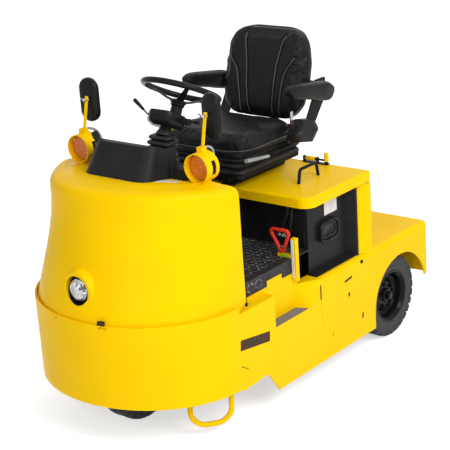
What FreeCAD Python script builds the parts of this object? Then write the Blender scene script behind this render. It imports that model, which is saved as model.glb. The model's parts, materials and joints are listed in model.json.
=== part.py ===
import FreeCAD, Part
import math
import os
import re
from types import SimpleNamespace

from FreeCAD import Rotation, Vector

# Seated three-wheel electric tow tractor, in millimetres.
# The front of the vehicle faces -Y, its left side is +X, up is +Z.
# The origin is on the ground, at the middle of the overall length and width.

doc = FreeCAD.newDocument("tow_tractor")
sheet = doc.addObject("Spreadsheet::Sheet", "Sizes")

SIZES = {
    # chassis plates
    "half_width": 526, "plate": 8, "skirt_bottom": 106, "deck_top": 515, "deck_edge": 28,
    "ledge_inner": 440, "side_front": -600, "rear_face": 944, "notch_rear": -351,
    "notch_front": -425, "notch_top": 215, "sill_top": 560,
    "arch_y": 675, "arch_z": 180, "arch_radius": 235, "fender_bottom": 230,
    # step cut into each side
    "deck_front": -469, "step_top": 408, "step_inner": 465, "step_front": -354, "step_rear": -80,
    "step_rear_inner": -105, "step_rear_top": 10, "riser_top": 636,
    # bent front bumper
    "bumper_depth": 460, "bumper_bottom": 215, "bumper_top": 590,
    # front cowl
    "cowl_wall": 6, "cowl_rear": -525, "cowl_base": 509, "cowl_shoulder": 1050,
    "lamp_height": 711, "lamp_face": -992, "lamp_radius": 58, "pod_radius": 80, "pod_reach": 26,
    # floor and battery compartment
    "floor_top": 650, "floor_sheet": 5, "floor_lip": 582, "battery_front": 0, "battery_side": 450,
    "bulkhead_front": 410, "bulkhead_rear": 434,
    # hood that carries the seat
    "hood_top": 914, "hood_skirt": 865, "hood_front": -72, "hood_rear": 436, "hood_sheet": 5,
    "hood_corner": 62, "hinge_y": 454, "hinge_z": 880,
    # wheels
    "tyre_radius": 207.5, "tyre_width": 110, "rim_radius": 128,
    "rear_axle_y": 618, "rear_wheel_x": 453, "front_axle_y": -700, "hub_fit": 0.05,
    # steering
    "column_tilt": 28, "wheel_y": -266, "wheel_z": 1401, "wheel_radius": 185, "wheel_tube": 14,
    "hub_drop": 76, "boot_y": -414, "boot_top": 1234,
    # seat
    "seat_floor": 986, "cushion_bottom": 1100, "cushion_half": 245, "cushion_front": -172,
    "back_top": 1575, "armrest_y": 412, "armrest_z": 1284,
    # lamps and mirrors
    "guard_x": 343, "guard_front": -600, "guard_z": 1175, "guard_radius": 64, "stem_y": -547,
    "mirror_y": -519, "mirror_z": 1375,
    # tow coupling
    "coupling_rear": 1060, "coupling_z": 330, "pin_radius": 14,
}

for row, (alias, number) in enumerate(SIZES.items(), start=1):
    sheet.set(f"A{row}", alias)
    sheet.set(f"B{row}", str(number))
    sheet.setAlias(f"B{row}", alias)
doc.recompute()
s = SimpleNamespace(**{alias: float(sheet.get(alias)) for alias in SIZES})

X_AXIS = Vector(1, 0, 0)
Y_AXIS = Vector(0, 1, 0)
Z_AXIS = Vector(0, 0, 1)

nodes = []


# ---------------------------------------------------------------- helpers

def formula(text):
    """Turns sheet aliases in a formula into references to the sheet."""
    def link(match):
        word = match.group()
        return f"Sizes.{word}" if word in SIZES else word
    return re.sub(r"[a-z][a-z_]*", link, str(text))


def bind(item, prop, text):
    item.setExpression(prop, formula(text))


def place(item, x, y, z):
    for axis, text in zip("xyz", (x, y, z)):
        bind(item, f"Placement.Base.{axis}", text)


def block(name, x, y, z):
    """A box between pairs of formulas for its low and high faces."""
    item = doc.addObject("Part::Box", name)
    for prop, (low, high) in zip(("Length", "Width", "Height"), (x, y, z)):
        bind(item, prop, f"({high}) - ({low})")
    place(item, x[0], y[0], z[0])
    return item


def rod(name, radius, length, base, axis=Z_AXIS):
    """A cylinder from its base point along an axis."""
    item = doc.addObject("Part::Cylinder", name)
    bind(item, "Radius", radius)
    bind(item, "Height", length)
    item.Placement.Rotation = Rotation(Z_AXIS, axis)
    place(item, *base)
    return item


def fixed(name, shape):
    """A shape made with Part's own functions from the sheet's sizes."""
    item = doc.addObject("Part::Feature", name)
    item.Shape = shape
    return item


def mirrored(name, source):
    item = doc.addObject("Part::Mirroring", name)
    item.Source = source
    item.Normal = X_AXIS
    return item


def node(label, item):
    """Names a finished sub-part; its label is its file name."""
    item.Label = label
    nodes.append(item)
    return item


def rounded_wire(points, radii, to_3d):
    """A closed wire through flat points, each corner turned into a tangent arc."""
    count = len(points)
    runs = []
    for index in range(count):
        before = Vector(*points[index - 1], 0)
        corner = Vector(*points[index], 0)
        after = Vector(*points[(index + 1) % count], 0)
        radius = radii[index] if isinstance(radii, (list, tuple)) else radii
        inward = (before - corner).normalize()
        outward = (after - corner).normalize()
        turn = inward.getAngle(outward)
        if radius <= 0 or abs(turn - math.pi) < 1e-6:
            runs.append((corner, None, corner))
            continue
        reach = radius / math.tan(turn / 2)
        start = corner + inward * reach
        end = corner + outward * reach
        bisector = (inward + outward).normalize()
        centre = corner + bisector * (radius / math.sin(turn / 2))
        middle = centre - bisector * radius
        runs.append((start, middle, end))
    edges = []
    for index in range(count):
        start, middle, end = runs[index]
        following = runs[(index + 1) % count][0]
        if middle is not None:
            edges.append(Part.Arc(to_3d(start), to_3d(middle), to_3d(end)).toShape())
        if (following - end).Length > 1e-6:
            edges.append(Part.LineSegment(to_3d(end), to_3d(following)).toShape())
    return Part.Wire(edges)


def on_xy(z):
    return lambda p: Vector(p.x, p.y, z)


def on_yz(x):
    return lambda p: Vector(x, p.x, p.y)


def on_xz(y):
    return lambda p: Vector(p.x, y, p.y)


def slab(points, radii, to_3d, direction):
    """A plate: a rounded flat outline extruded along a vector."""
    return Part.Face(rounded_wire(points, radii, to_3d)).extrude(direction)


def tube(points, bend, radius):
    """A round bar bent along 3-D points with tangent arcs of one bend radius.

    With no bend radius, as for a soft lead, each arc is as large as its two runs allow.
    """
    path = []
    last = points[0]
    for index in range(1, len(points) - 1):
        corner = points[index]
        before = points[index - 1] - corner
        after = points[index + 1] - corner
        shorter = min(before.Length, after.Length)
        inward = before.normalize()
        outward = after.normalize()
        turn = inward.getAngle(outward)
        arc = bend or 0.45 * shorter * math.tan(turn / 2)
        reach = arc / math.tan(turn / 2)
        bisector = (inward + outward).normalize()
        start = corner + inward * reach
        end = corner + outward * reach
        middle = corner + bisector * (arc / math.sin(turn / 2) - arc)
        if (start - last).Length > 1e-6:
            path.append(Part.LineSegment(last, start).toShape())
        path.append(Part.Arc(start, middle, end).toShape())
        last = end
    path.append(Part.LineSegment(last, points[-1]).toShape())
    spine = Part.Wire(path)
    direction = points[1] - points[0]
    profile = Part.Wire([Part.Circle(points[0], direction, radius).toShape()])
    return spine.makePipeShell([profile], True, False)


def both_sides(shape):
    """A piece on the left and its mirror image on the right, as two solids."""
    other = shape.mirror(Vector(0, 0, 0), X_AXIS)
    return Part.makeCompound([shape, other])


# ---------------------------------------------------------------- chassis

def body_block(inset, front):
    """Outline of deck, sides and rear plate as one block with rounded top and rear edges."""
    half = s.half_width - inset
    top = s.deck_top - inset
    rear = s.rear_face - inset
    corner = Vector(-half, front, s.skirt_bottom)
    solid = Part.makeBox(2 * half, rear - front, top - s.skirt_bottom, corner)
    folds = []
    for edge in solid.Edges:
        box = edge.BoundBox
        along_deck = box.ZMin > top - 1 and box.YLength > 1
        at_rear = box.YMin > rear - 1 and box.ZMax > top - 1
        if along_deck or at_rear:
            folds.append(edge)
    return solid.makeFillet(s.deck_edge - inset, folds)


def body_shell():
    """The folded sheet of that block, open underneath and at the front."""
    return body_block(0, s.side_front).cut(body_block(s.plate, s.side_front - 20))


def plate_holes():
    """Slots, seam and fixing holes in the left side plate, as (y, z) outlines to cut."""
    outlines = [
        ([(-14, 416), (-7, 416), (-6, 485), (-13, 485)], 1),
        ([(-11, 418), (1, 280), (3, 280), (-9, 418)], 0),
        ([(184, 433), (244, 437), (244, 445), (184, 441)], 3),
        ([(214, 358), (220, 353), (226, 370), (216, 380)], 2),
        ([(324, 200), (332, 200), (336, 231), (328, 231)], 3.5),
        ([(68, 197), (76, 197), (84, 230), (76, 230)], 3.5)]
    depth = Vector(40, 0, 0)
    return [slab(points, radius, on_yz(s.half_width - 20), depth) for points, radius in outlines]


def side_frame():
    """Left side: skirt with a rounded deck edge, arch, notch, step and sill."""
    top = s.deck_top
    outer = s.half_width
    inner = outer - s.plate
    half = Part.makeBox(200, 1700, 500, Vector(s.ledge_inner, s.side_front - 10, 50))
    shell = body_shell().common(half)
    bare = Part.makeBox(inner - 400, s.deck_front - s.side_front, 60,
                        Vector(400, s.side_front, top - 40))
    far = Vector(200, 0, 0)
    low = s.skirt_bottom - 20
    notch = slab(
        [(s.side_front - 10, low), (s.notch_rear, low), (s.notch_rear, s.skirt_bottom + 4),
         (s.notch_front, s.notch_top), (s.side_front - 10, s.notch_top - 12)],
        [0, 0, 24, 34, 0], on_yz(400), far)
    arch = Part.makeCylinder(s.arch_radius, 200, Vector(400, s.arch_y, s.arch_z), X_AXIS)
    mouth = Part.makeBox(200, 2 * s.arch_radius, s.arch_z - low,
                         Vector(400, s.arch_y - s.arch_radius, low))
    tail = Part.makeBox(200, 300, s.fender_bottom - low, Vector(400, s.arch_y, low))
    corner = Vector(400, s.rear_face - 16, s.fender_bottom + 16)
    tail_corner = Part.makeBox(200, 20, 20, corner - Vector(0, 0, 20)).cut(
        Part.makeCylinder(16, 200, corner, X_AXIS))
    step_box = recess(s.plate).cut(recess(0)).common(Part.makeBox(
        outer - s.step_inner + s.plate, 700, top - s.step_top + s.plate,
        Vector(s.step_inner - s.plate, s.step_front - 60, s.step_top - s.plate)))
    riser = Part.makeBox(s.plate, s.step_rear_inner - s.deck_front, s.riser_top - top + s.plate,
                         Vector(s.step_inner - s.plate, s.deck_front, top - s.plate))
    sill_length = s.step_front - s.cowl_rear
    sill_face = Part.makeBox(s.plate, s.step_front - s.side_front, s.sill_top - top + s.deck_edge,
                             Vector(inner, s.side_front, top - s.deck_edge))
    sill_cover = Part.makeBox(outer - s.step_inner, sill_length, s.plate,
                              Vector(s.step_inner, s.cowl_rear, s.sill_top - s.plate))
    sill_end = Part.makeBox(outer - s.step_inner, s.plate, s.sill_top - top + s.plate,
                            Vector(s.step_inner, s.step_front - s.plate, top - s.plate))
    plate = shell.cut([bare, notch, arch, mouth, tail, tail_corner, recess(0.5 * s.plate)])
    plate = plate.fuse([step_box, riser, sill_face, sill_cover, sill_end])
    return plate.cut(plate_holes()).removeSplitter()


def rear_deck():
    """Load deck and rear plate between the side frames, folded over the rear edge."""
    length = s.rear_face - s.bulkhead_rear + 10
    height = s.deck_top - s.fender_bottom + 10
    between = Part.makeBox(2 * s.ledge_inner, length, height,
                           Vector(-s.ledge_inner, s.bulkhead_rear, s.fender_bottom))
    return body_shell().common(between).removeSplitter()


def bulkhead():
    """Upright plate behind the battery, with a slanted pillar at each end."""
    top = s.hood_skirt - 8
    low = s.deck_top - 30
    half = s.half_width - 4
    depth = s.bulkhead_rear - s.bulkhead_front
    plate = Part.makeBox(2 * half, depth, top - low, Vector(-half, s.bulkhead_front, low))
    outline = [(490, 350), (half, 404), (half, s.bulkhead_rear), (462, s.bulkhead_rear), (462, 350)]
    pillar = slab(outline, [3, 5, 0, 0, 0], on_xy(low), Vector(0, 0, top - low))
    other = pillar.mirror(Vector(0, 0, 0), X_AXIS)
    return plate.fuse([pillar, other]).cut(body_block(0, s.side_front)).removeSplitter()


def battery_side_panel():
    """Recessed side panel of the battery bay with sloping sheets below and behind it."""
    face = s.battery_side
    top = s.hood_skirt - 8
    low = s.deck_top
    panel = Part.makeBox(6, 340, top - low, Vector(face, 6, low))
    sill_outline = [(face + 6, low), (498, low), (498, low + 5), (face + 6, low + 18)]
    sill = slab(sill_outline, 0, on_xz(6), Vector(0, 340, 0))
    jamb_outline = [(face + 6, 312), (502, 334), (502, 346), (face + 6, 346)]
    jamb = slab(jamb_outline, 0, on_xy(low), Vector(0, 0, top - low))
    return panel.fuse([sill, jamb]).removeSplitter()


def battery_leads():
    """Two leads that leave the battery's front panel, hang down and go back in."""
    routes = [
        [(368, 6, 852), (368, -17, 834), (367, -18, 803), (347, -18, 770), (334, -17, 735), (331, 6, 714)],
        [(388, 6, 846), (389, -17, 828), (390, -18, 796), (381, -18, 762), (374, -17, 732), (371, 6, 712)]]
    behind = Part.makeBox(200, 40, 300, Vector(280, s.battery_front, 640))
    leads = [tube([Vector(*point) for point in route], None, 5.5).cut(behind) for route in routes]
    return Part.makeCompound(leads)


def recess(grow):
    """Room of the step: upright inner wall and a rear wall that leans back outwards."""
    inner = s.step_inner - grow
    outer = s.half_width + 30
    low = s.step_top - grow
    high = s.riser_top + 60
    share = (outer - s.step_inner) / (s.half_width - s.step_inner)
    rise = (high - s.step_top) / (s.deck_top - s.step_top)
    rear_low = s.step_rear_inner + (s.step_rear - s.step_rear_inner) * share + grow
    rear_high = rear_low + (s.step_rear_top - s.step_rear) * share * rise
    inner_rear = s.step_rear_inner + grow
    front = s.step_front - grow
    rings = []
    for z, outer_rear in ((low, rear_low), (high, rear_high)):
        corners = [(inner, front), (outer, front), (outer, outer_rear), (inner, inner_rear), (inner, front)]
        rings.append(Part.makePolygon([Vector(x, y, z) for x, y in corners]))
    return Part.makeLoft(rings, True, True)


def bumper_wire(z, inset, rear):
    """Plan of the bumper: half ellipse in front, straight sides, flat rear."""
    half = s.half_width - inset
    depth = s.bumper_depth - inset
    ellipse = Part.Ellipse(Vector(0, s.side_front, z), half, depth)
    curve = Part.ArcOfEllipse(ellipse, math.pi, 2 * math.pi)
    corners = [Vector(half, s.side_front, z), Vector(half, rear, z),
               Vector(-half, rear, z), Vector(-half, s.side_front, z)]
    sides = [Part.LineSegment(a, b).toShape() for a, b in zip(corners, corners[1:])]
    return Part.Wire([curve.toShape()] + sides)


def front_bumper():
    """Thick plate bent round the nose, its rim notched at both ends of the front seam."""
    height = s.bumper_top - s.bumper_bottom
    up = Vector(0, 0, height)
    band = Part.Face(bumper_wire(s.bumper_bottom, 0, s.side_front + 1)).extrude(up)
    room = Part.Face(bumper_wire(s.bumper_bottom, s.plate, s.side_front + 60)).extrude(up)
    open_rear = Part.makeBox(1200, 40, height, Vector(-600, s.side_front, s.bumper_bottom))
    rim = s.bumper_top
    front = s.side_front - s.bumper_depth - 20
    outlines = [
        [(-118, rim - 18), (-106, rim - 18), (-106, rim + 5), (-118, rim + 5)],
        [(126, rim - 16), (168, rim - 16), (168, rim + 5), (146, rim + 5)]]
    notches = [slab(outline, 0, on_xz(front), Vector(0, 90, 0)) for outline in outlines]
    return band.cut([room, open_rear] + notches)


# Right half of the cowl's plan, as shares of its half width and of its depth:
# near the top the sides run in towards the front, at the base it follows the bumper.
PLAN_X = (0, 0.298, 0.557, 0.730, 0.889, 0.984, 1.0, 1.0)
PLAN_TOP = (1, 0.946, 0.790, 0.585, 0.321, 0.111, 0.045, 0)
PLAN_BASE = (1, 0.961, 0.855, 0.729, 0.537, 0.297, 0.145, 0)


def cowl_wire(z, half, depth, flare, rise, rear):
    """Plan of the cowl at one height; rise tilts the section up towards the front."""
    def at(x, share):
        y = s.cowl_rear - depth * share
        return Vector(half * x, y, z + rise * (s.cowl_rear - y))
    shares = [top + (base - top) * flare for top, base in zip(PLAN_TOP, PLAN_BASE)]
    left = [at(x, share) for x, share in zip(PLAN_X, shares)]
    right = [Vector(-p.x, p.y, p.z) for p in left[1:]]
    curve = Part.BSplineCurve()
    curve.interpolate(right[::-1] + left)
    end = Vector(half, rear, z + rise * (s.cowl_rear - rear))
    corners = [left[-1], end, Vector(-end.x, end.y, end.z), right[-1]]
    pairs = [(a, b) for a, b in zip(corners, corners[1:]) if (b - a).Length > 1e-6]
    sides = [Part.LineSegment(a, b).toShape() for a, b in pairs]
    return Part.Wire([curve.toShape()] + sides)


def cowl_body(inset, rear):
    """Side walls: nearly upright at the top, flared towards the bumper below."""
    levels = [
        (s.cowl_base, 505, 521, 1.0, 0), (600, 505, 519, 0.97, 0), (650, 505, 506, 0.86, 0),
        (720, 504, 481, 0.68, 0.01), (800, 503, 454, 0.45, 0.02), (880, 503, 431, 0.22, 0.03),
        (950, 503, 414, 0.07, 0.04), (1000, 503, 407, 0, 0.05), (s.cowl_shoulder, 503, 404, 0, 0.06)]
    wires = [cowl_wire(z, half - inset, depth - inset, flare, rise, rear)
             for z, half, depth, flare, rise in levels]
    return Part.makeLoft(wires, True, False, False, 3)


def cowl_crown(inset, rear):
    """Top of the cowl: the shoulder rolls over into a gently rising crown."""
    wires = []
    for up, roll in [(0, 0), (22, 2), (37, 10), (45, 25), (49, 52), (51, 98), (53, 150)]:
        z = s.cowl_shoulder + up - (inset if up else 0)
        rise = 0.06 + 0.0004 * roll
        wires.append(cowl_wire(z, 503 - inset - roll, 404 - inset - roll, 0, rise, rear))
    return Part.makeLoft(wires, True, False, False, 3)


def front_cowl():
    """Hollow nose shell, open to the footwell behind, with its flange inside the bumper's rim."""
    rear = s.cowl_rear
    open_rear = rear + 50
    room = cowl_body(s.cowl_wall, open_rear).fuse(cowl_crown(s.cowl_wall, open_rear))
    shell = cowl_body(0, rear).fuse(cowl_crown(0, rear))
    pod_depth = 150
    pod_base = Vector(0, s.lamp_face + pod_depth, s.lamp_height)
    pod_length = pod_depth + s.pod_reach
    pod = Part.makeCone(s.pod_radius + 52, s.pod_radius, pod_length, pod_base, -Y_AXIS)
    mouth = Part.makeCylinder(s.lamp_radius + 6, 90, Vector(0, s.lamp_face - 60, s.lamp_height), Y_AXIS)
    flange_plan = bumper_wire(s.bumper_top - 18, s.plate + 2, s.side_front + 8)
    flange = Part.Face(flange_plan).extrude(Vector(0, 0, s.cowl_wall))
    skin = shell.fuse([pod, flange]).cut(room).cut(mouth)
    return skin.cut(console_foot()).removeSplitter()


def headlight_cup():
    """Black cup behind the cowl's mouth, with the seat that holds the lens."""
    def hollow(outer, inner, front, length):
        base = Vector(0, front, s.lamp_height)
        bore = Part.makeCylinder(inner, length, base, Y_AXIS)
        return Part.makeCylinder(outer, length, base, Y_AXIS).cut(bore)
    sleeve = hollow(s.lamp_radius + 16, s.lamp_radius + 6, s.lamp_face - 60, 102)
    seat = hollow(s.lamp_radius + 8, s.lamp_radius - 8, s.lamp_face + 7, 35)
    return sleeve.common(cowl_body(s.cowl_wall, s.cowl_rear)).fuse(seat).removeSplitter()


def console_foot():
    """Opening in the crown under the console, smaller than the console all round."""
    rear = s.cowl_rear + 80
    outline = [(-140, -720), (140, -720), (180, rear), (-180, rear)]
    return slab(outline, 0, on_xy(s.cowl_shoulder - 60), Vector(0, 0, 300))


def console():
    """Black shroud behind the cowl's rim, with the kick box and the column's shelf below."""
    base_z = s.cowl_shoulder
    top_z = 1262
    corners = [62, 62, 20, 20]
    foot = rounded_wire([(-186, -800), (186, -800), (212, -530), (-212, -530)], corners, on_xy(base_z))
    head = rounded_wire([(-160, -676), (160, -676), (178, -520), (-178, -520)], corners, on_xy(top_z))
    shroud = Part.makeLoft([foot, head], True, True)
    above = [(-760, top_z), (-648, top_z), (-490, 1196), (-490, 1400), (-760, 1400)]
    slope = slab(above, 0, on_yz(-300), Vector(600, 0, 0))
    wing_outline = [(-275, -594), (275, -594), (275, -536), (-275, -536)]
    wing = slab(wing_outline, 12, on_xy(base_z), Vector(0, 0, 108))
    shelf_outline = [(-105, -640), (105, -640), (105, -345), (-105, -345)]
    shelf = slab(shelf_outline, [10, 10, 30, 30], on_xy(1030), Vector(0, 0, 45))
    kick_low = s.floor_top + 120
    kick_outline = [(-250, -800), (250, -800), (350, -690), (350, -560), (-350, -560), (-350, -690)]
    kick = slab(kick_outline, [60, 60, 60, 20, 20, 60], on_xy(kick_low), Vector(0, 0, base_z - kick_low - 2))
    room_outline = [(-244, -794), (244, -794), (344, -687), (344, -566), (-344, -566), (-344, -687)]
    kick_room = slab(room_outline, [56, 56, 56, 15, 15, 56], on_xy(kick_low + 5),
                     Vector(0, 0, base_z - kick_low - 40))
    return shroud.cut(slope).fuse([wing, shelf, kick.cut(kick_room)]).removeSplitter()


def floor_plate():
    """Tread plate over the steered wheel and footwell, its sides bent down as lips."""
    half = s.step_inner + s.floor_sheet
    outline = [(half, -8), (half, -700), (330, -850), (-330, -850), (-half, -700), (-half, -8)]
    sheet_plate = slab(outline, [0, 60, 60, 60, 60, 0], on_xy(s.floor_top - s.floor_sheet),
                       Vector(0, 0, s.floor_sheet))
    low = s.floor_lip
    lip_outline = [(-520, low), (-330, low), (-330, low + 26), (-215, low + 26), (-215, low),
                   (-120, low), (-120, s.floor_top), (-520, s.floor_top)]
    lip = slab(lip_outline, 0, on_yz(s.step_inner + 0.3), Vector(s.floor_sheet - 0.3, 0, 0))
    other = lip.mirror(Vector(0, 0, 0), X_AXIS)
    return sheet_plate.fuse([lip, other]).removeSplitter()


def underframe():
    """Nose deck plate with the kingpin boss, long beams, battery tray and axle mounts."""
    beam_low = s.cowl_base - s.plate - 80
    deck = Part.Face(bumper_wire(s.cowl_base - s.plate, s.plate, -470)).extrude(Vector(0, 0, s.plate))
    boss = Part.makeCylinder(70, 48, Vector(0, s.front_axle_y, s.cowl_base - 48))
    bore = Part.makeCylinder(30 + s.hub_fit, 80, Vector(0, s.front_axle_y, s.cowl_base - 60))
    tray = Part.makeBox(880, 392, 8, Vector(-440, 8, 240))
    front = Part.makeBox(880, 8, 260, Vector(-440, 8, 240))
    rear = Part.makeBox(992, 8, 267, Vector(-496, 392, 240))
    beams = []
    for x in (-260, 200):
        beams.append(Part.makeBox(60, 572, 80.5, Vector(x, -560, beam_low)))
        beams.append(Part.makeBox(60, 520, 80, Vector(x, 400, beam_low)))
    for x in (-245, 215):
        beams.append(Part.makeBox(30, 66, 234, Vector(x, s.rear_axle_y - 110.5, 190)))
    return deck.fuse([boss, tray, front, rear] + beams).cut(bore).removeSplitter()


def tow_hitch():
    """Cast coupling with three jaw plates and a mounting plate on the rear plate."""
    back = Part.makeBox(150, 18, 190, Vector(-75, s.rear_face, s.coupling_z - 95))
    front = s.rear_face + 10
    outline = [(-60, front), (60, front), (50, s.coupling_rear), (-50, s.coupling_rear)]
    jaws = [slab(outline, [0, 0, 40, 40], on_xy(s.coupling_z + z), Vector(0, 0, 20)) for z in (-80, -10, 60)]
    pin_base = Vector(0, s.coupling_rear - 45, s.coupling_z - 130)
    pin_room = Part.makeCylinder(s.pin_radius + s.hub_fit, 260, pin_base)
    return back.fuse(jaws).cut(pin_room).removeSplitter()


def tow_pin():
    """Drop-in pin with a ring handle."""
    low = s.coupling_z - 100
    shank = Part.makeCylinder(s.pin_radius, 200, Vector(0, s.coupling_rear - 45, low))
    collar = Part.makeCylinder(22, 8, Vector(0, s.coupling_rear - 45, s.coupling_z + 80.3))
    loop = Part.makeTorus(24, 5, Vector(0, s.coupling_rear - 45, low + 200 + 24), X_AXIS)
    return shank.fuse([collar, loop]).removeSplitter()


def drive_axle():
    """Transaxle housing, its tubes and the stub shafts that carry the rear wheels."""
    centre = Vector(0, s.rear_axle_y, s.tyre_radius)
    housing = Part.makeSphere(112, centre).common(
        Part.makeBox(180, 240, 240, centre - Vector(90, 120, 120)))
    beam = Part.makeCylinder(44, 2 * 372, centre - Vector(372, 0, 0), X_AXIS)
    shaft = Part.makeCylinder(22, 2 * 478, centre - Vector(478, 0, 0), X_AXIS)
    motor = Part.makeCylinder(95, 250, centre + Vector(0, -60, 75), Y_AXIS)
    seats = [Part.makeBox(30, 88, 40, centre + Vector(x, -44, -20)) for x in (-245, 215)]
    return housing.fuse([beam, shaft, motor] + seats).removeSplitter()


def wheel_profile(points):
    """Turns a closed outline of (x, radius) round the X axis, centred on the origin."""
    face = Part.Face(rounded_wire(points, 0, on_xz(0)))
    return face.revolve(Vector(0, 0, 0), X_AXIS, 360)


def tyre():
    half = s.tyre_width / 2
    return wheel_profile([
        (-half + 14, s.rim_radius - 8), (-half, s.rim_radius + 14), (-half, 178), (-half + 10, 198),
        (-half + 24, s.tyre_radius), (half - 24, s.tyre_radius), (half - 10, 198), (half, 178),
        (half, s.rim_radius + 14), (half - 14, s.rim_radius - 8)])


def rim():
    """Pressed disc rim with a hub bore; its outer side is the +X side."""
    half = s.tyre_width / 2
    inner = s.rim_radius - 8
    return wheel_profile([
        (-half + 14, inner), (half - 14, inner), (half - 8, inner + 9), (half - 4, inner + 6),
        (half - 8, inner - 8), (18, inner - 14), (10, 70), (24, 52), (24, 22.05), (-30, 22.05),
        (-30, 46), (-8, 60), (-2, inner - 14), (-half + 8, inner - 8), (-half + 4, inner + 6),
        (-half + 8, inner + 9)])


def steer_fork():
    """Kingpin, crown and two arms round the steered wheel, with its axle."""
    centre = Vector(0, s.front_axle_y, s.tyre_radius)
    crown = Part.makeCylinder(104, 20, Vector(0, s.front_axle_y, 430))
    arms = [Part.makeBox(16, 84, 275, Vector(x, s.front_axle_y - 42, 165)) for x in (-84, 68)]
    axle = Part.makeCylinder(22, 2 * 84, centre - Vector(84, 0, 0), X_AXIS)
    kingpin = Part.makeCylinder(30, 90, Vector(0, s.front_axle_y, 430))
    cap = Part.makeCylinder(44, 10, Vector(0, s.front_axle_y, s.cowl_base + 0.4))
    collar = Part.makeCylinder(55, s.cowl_base - 48 - 450 - 0.4, Vector(0, s.front_axle_y, 450))
    return crown.fuse(arms + [axle, kingpin, cap, collar]).removeSplitter()


def hood():
    """Folded cover with rounded front corners, open underneath."""
    def tray(inset, low, high):
        half = s.half_width - inset
        front = s.hood_front + inset
        rear = s.hood_rear - inset
        outline = [(-half, front), (half, front), (half, rear), (-half, rear)]
        radii = [s.hood_corner - inset, s.hood_corner - inset, 14 - inset, 14 - inset]
        return slab(outline, radii, on_xy(low), Vector(0, 0, high - low))
    solid = tray(0, s.hood_skirt, s.hood_top)
    top_edges = [edge for edge in solid.Edges if edge.BoundBox.ZMin > s.hood_top - 1]
    room = tray(s.hood_sheet, s.hood_skirt - 1, s.hood_top - s.hood_sheet)
    seat_outline = [(-84, -38), (84, -38), (84, 330), (-84, 330)]
    seat_plate = slab(seat_outline, 26, on_xy(s.hood_top), Vector(0, 0, 4))
    shell = solid.makeFillet(12, top_edges).cut(room)
    return shell.fuse([seat_plate] + hood_leaves()).removeSplitter()


def hood_latch():
    """Folded bracket at the rear edge of the hood, with a sliding sleeve and an upright knob."""
    z = s.hood_top
    foot = Part.makeBox(142, 26, 4, Vector(156, 402, z))
    lugs = [Part.makeBox(6, 20, 30, Vector(x, 405, z)) for x in (156, 232)]
    bar = Part.makeCylinder(5, 132, Vector(156, 415, z + 20), X_AXIS)
    sleeve = Part.makeCylinder(9, 56, Vector(169, 415, z + 20), X_AXIS)
    knob = Part.makeCylinder(10, 52, Vector(288, 415, z + 4))
    return foot.fuse(lugs + [bar, sleeve, knob]).removeSplitter()


def grab_handle(x, low, high):
    """Bent bar that stands on the hood beside the seat."""
    z = s.hood_top
    points = [(low, z), (low + 14, z + 66), (high - 14, z + 66), (high, z)]
    return tube([Vector(x, *point) for point in points], 20, 7.5)


def cushion():
    """Seat pad with a rolled upper edge."""
    low = s.cushion_bottom
    high = low + 86
    half = s.cushion_half
    outline = [(-half, s.cushion_front), (half, s.cushion_front), (half - 6, 262), (-half + 6, 262)]
    solid = slab(outline, [70, 70, 40, 40], on_xy(low), Vector(0, 0, high - low))
    edges = [edge for edge in solid.Edges if edge.BoundBox.ZMin > high - 1]
    return solid.makeFillet(26, edges)


def backrest():
    """Deep padded shell, widest at the lumbar bolsters and narrower at the top."""
    levels = [
        (1130, 206, 268, 366), (1200, 232, 276, 404), (1300, 242, 288, 434), (1400, 239, 312, 460),
        (1490, 214, 338, 472), (1548, 182, 358, 474), (s.back_top, 152, 376, 462)]
    wires = []
    for z, half, front, rear in levels:
        outline = [(-half, front), (half, front), (half, rear), (-half, rear)]
        wires.append(rounded_wire(outline, min(34, (rear - front) / 2 - 4), on_xy(z)))
    return Part.makeLoft(wires, True, False, False, 3)


def seat_base():
    """Suspension: bellows with four ribs over a core and two rails."""
    pieces = []
    for z, grow in ((1004, 0), (1030, 8), (1056, 0), (1082, 10)):
        half = 200 + grow
        outline = [(-half, -140 - grow), (half, -140 - grow), (half, 330), (-half, 330)]
        pieces.append(slab(outline, [40, 40, 20, 20], on_xy(z), Vector(0, 0, 18)))
    floor = s.seat_floor
    core = Part.makeBox(380, 440, s.cushion_bottom - floor, Vector(-190, -124, floor))
    rail_low = s.hood_top + 4
    rails = [Part.makeBox(40, 330, floor - rail_low, Vector(x, -30, rail_low)) for x in (-78, 38)]
    return core.fuse(pieces + rails).removeSplitter()


def seat_frame():
    """Steel side brackets that join the cushion pan and the backrest."""
    outline = [(150, 1080), (330, 1080), (456, 1230), (470, 1330), (392, 1330), (362, 1240),
               (290, 1130), (150, 1110)]
    plates = [slab(outline, 8, on_yz(x), Vector(9, 0, 0)) for x in (-262, 253)]
    bar = Part.makeCylinder(9, 512, Vector(-256, 318, 1114), X_AXIS)
    back_bar = Part.makeCylinder(8, 512, Vector(-256, 455, 1300), X_AXIS)
    return plates[0].fuse([plates[1], bar, back_bar]).removeSplitter()


def armrest(sign):
    """Deep pad, sloping down to the rear, that folds up about a cross pin near its rear end."""
    x = 275 if sign > 0 else -337
    pin_x = 262.3 if sign > 0 else -275
    outline = [(104, 1350), (164, 1366), (424, 1326), (462, 1292), (418, 1228), (150, 1302)]
    pad = slab(outline, [12, 22, 20, 14, 24, 18], on_yz(x), Vector(62, 0, 0))
    pin = Part.makeCylinder(9, 12.7, Vector(pin_x, s.armrest_y, s.armrest_z), X_AXIS)
    return pad.fuse(pin).removeSplitter()


def column_local(shape):
    """Moves a piece from the steering column's own axis to its place."""
    shape.rotate(Vector(0, 0, 0), X_AXIS, -s.column_tilt)
    shape.translate(Vector(0, s.wheel_y, s.wheel_z))
    return shape


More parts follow.
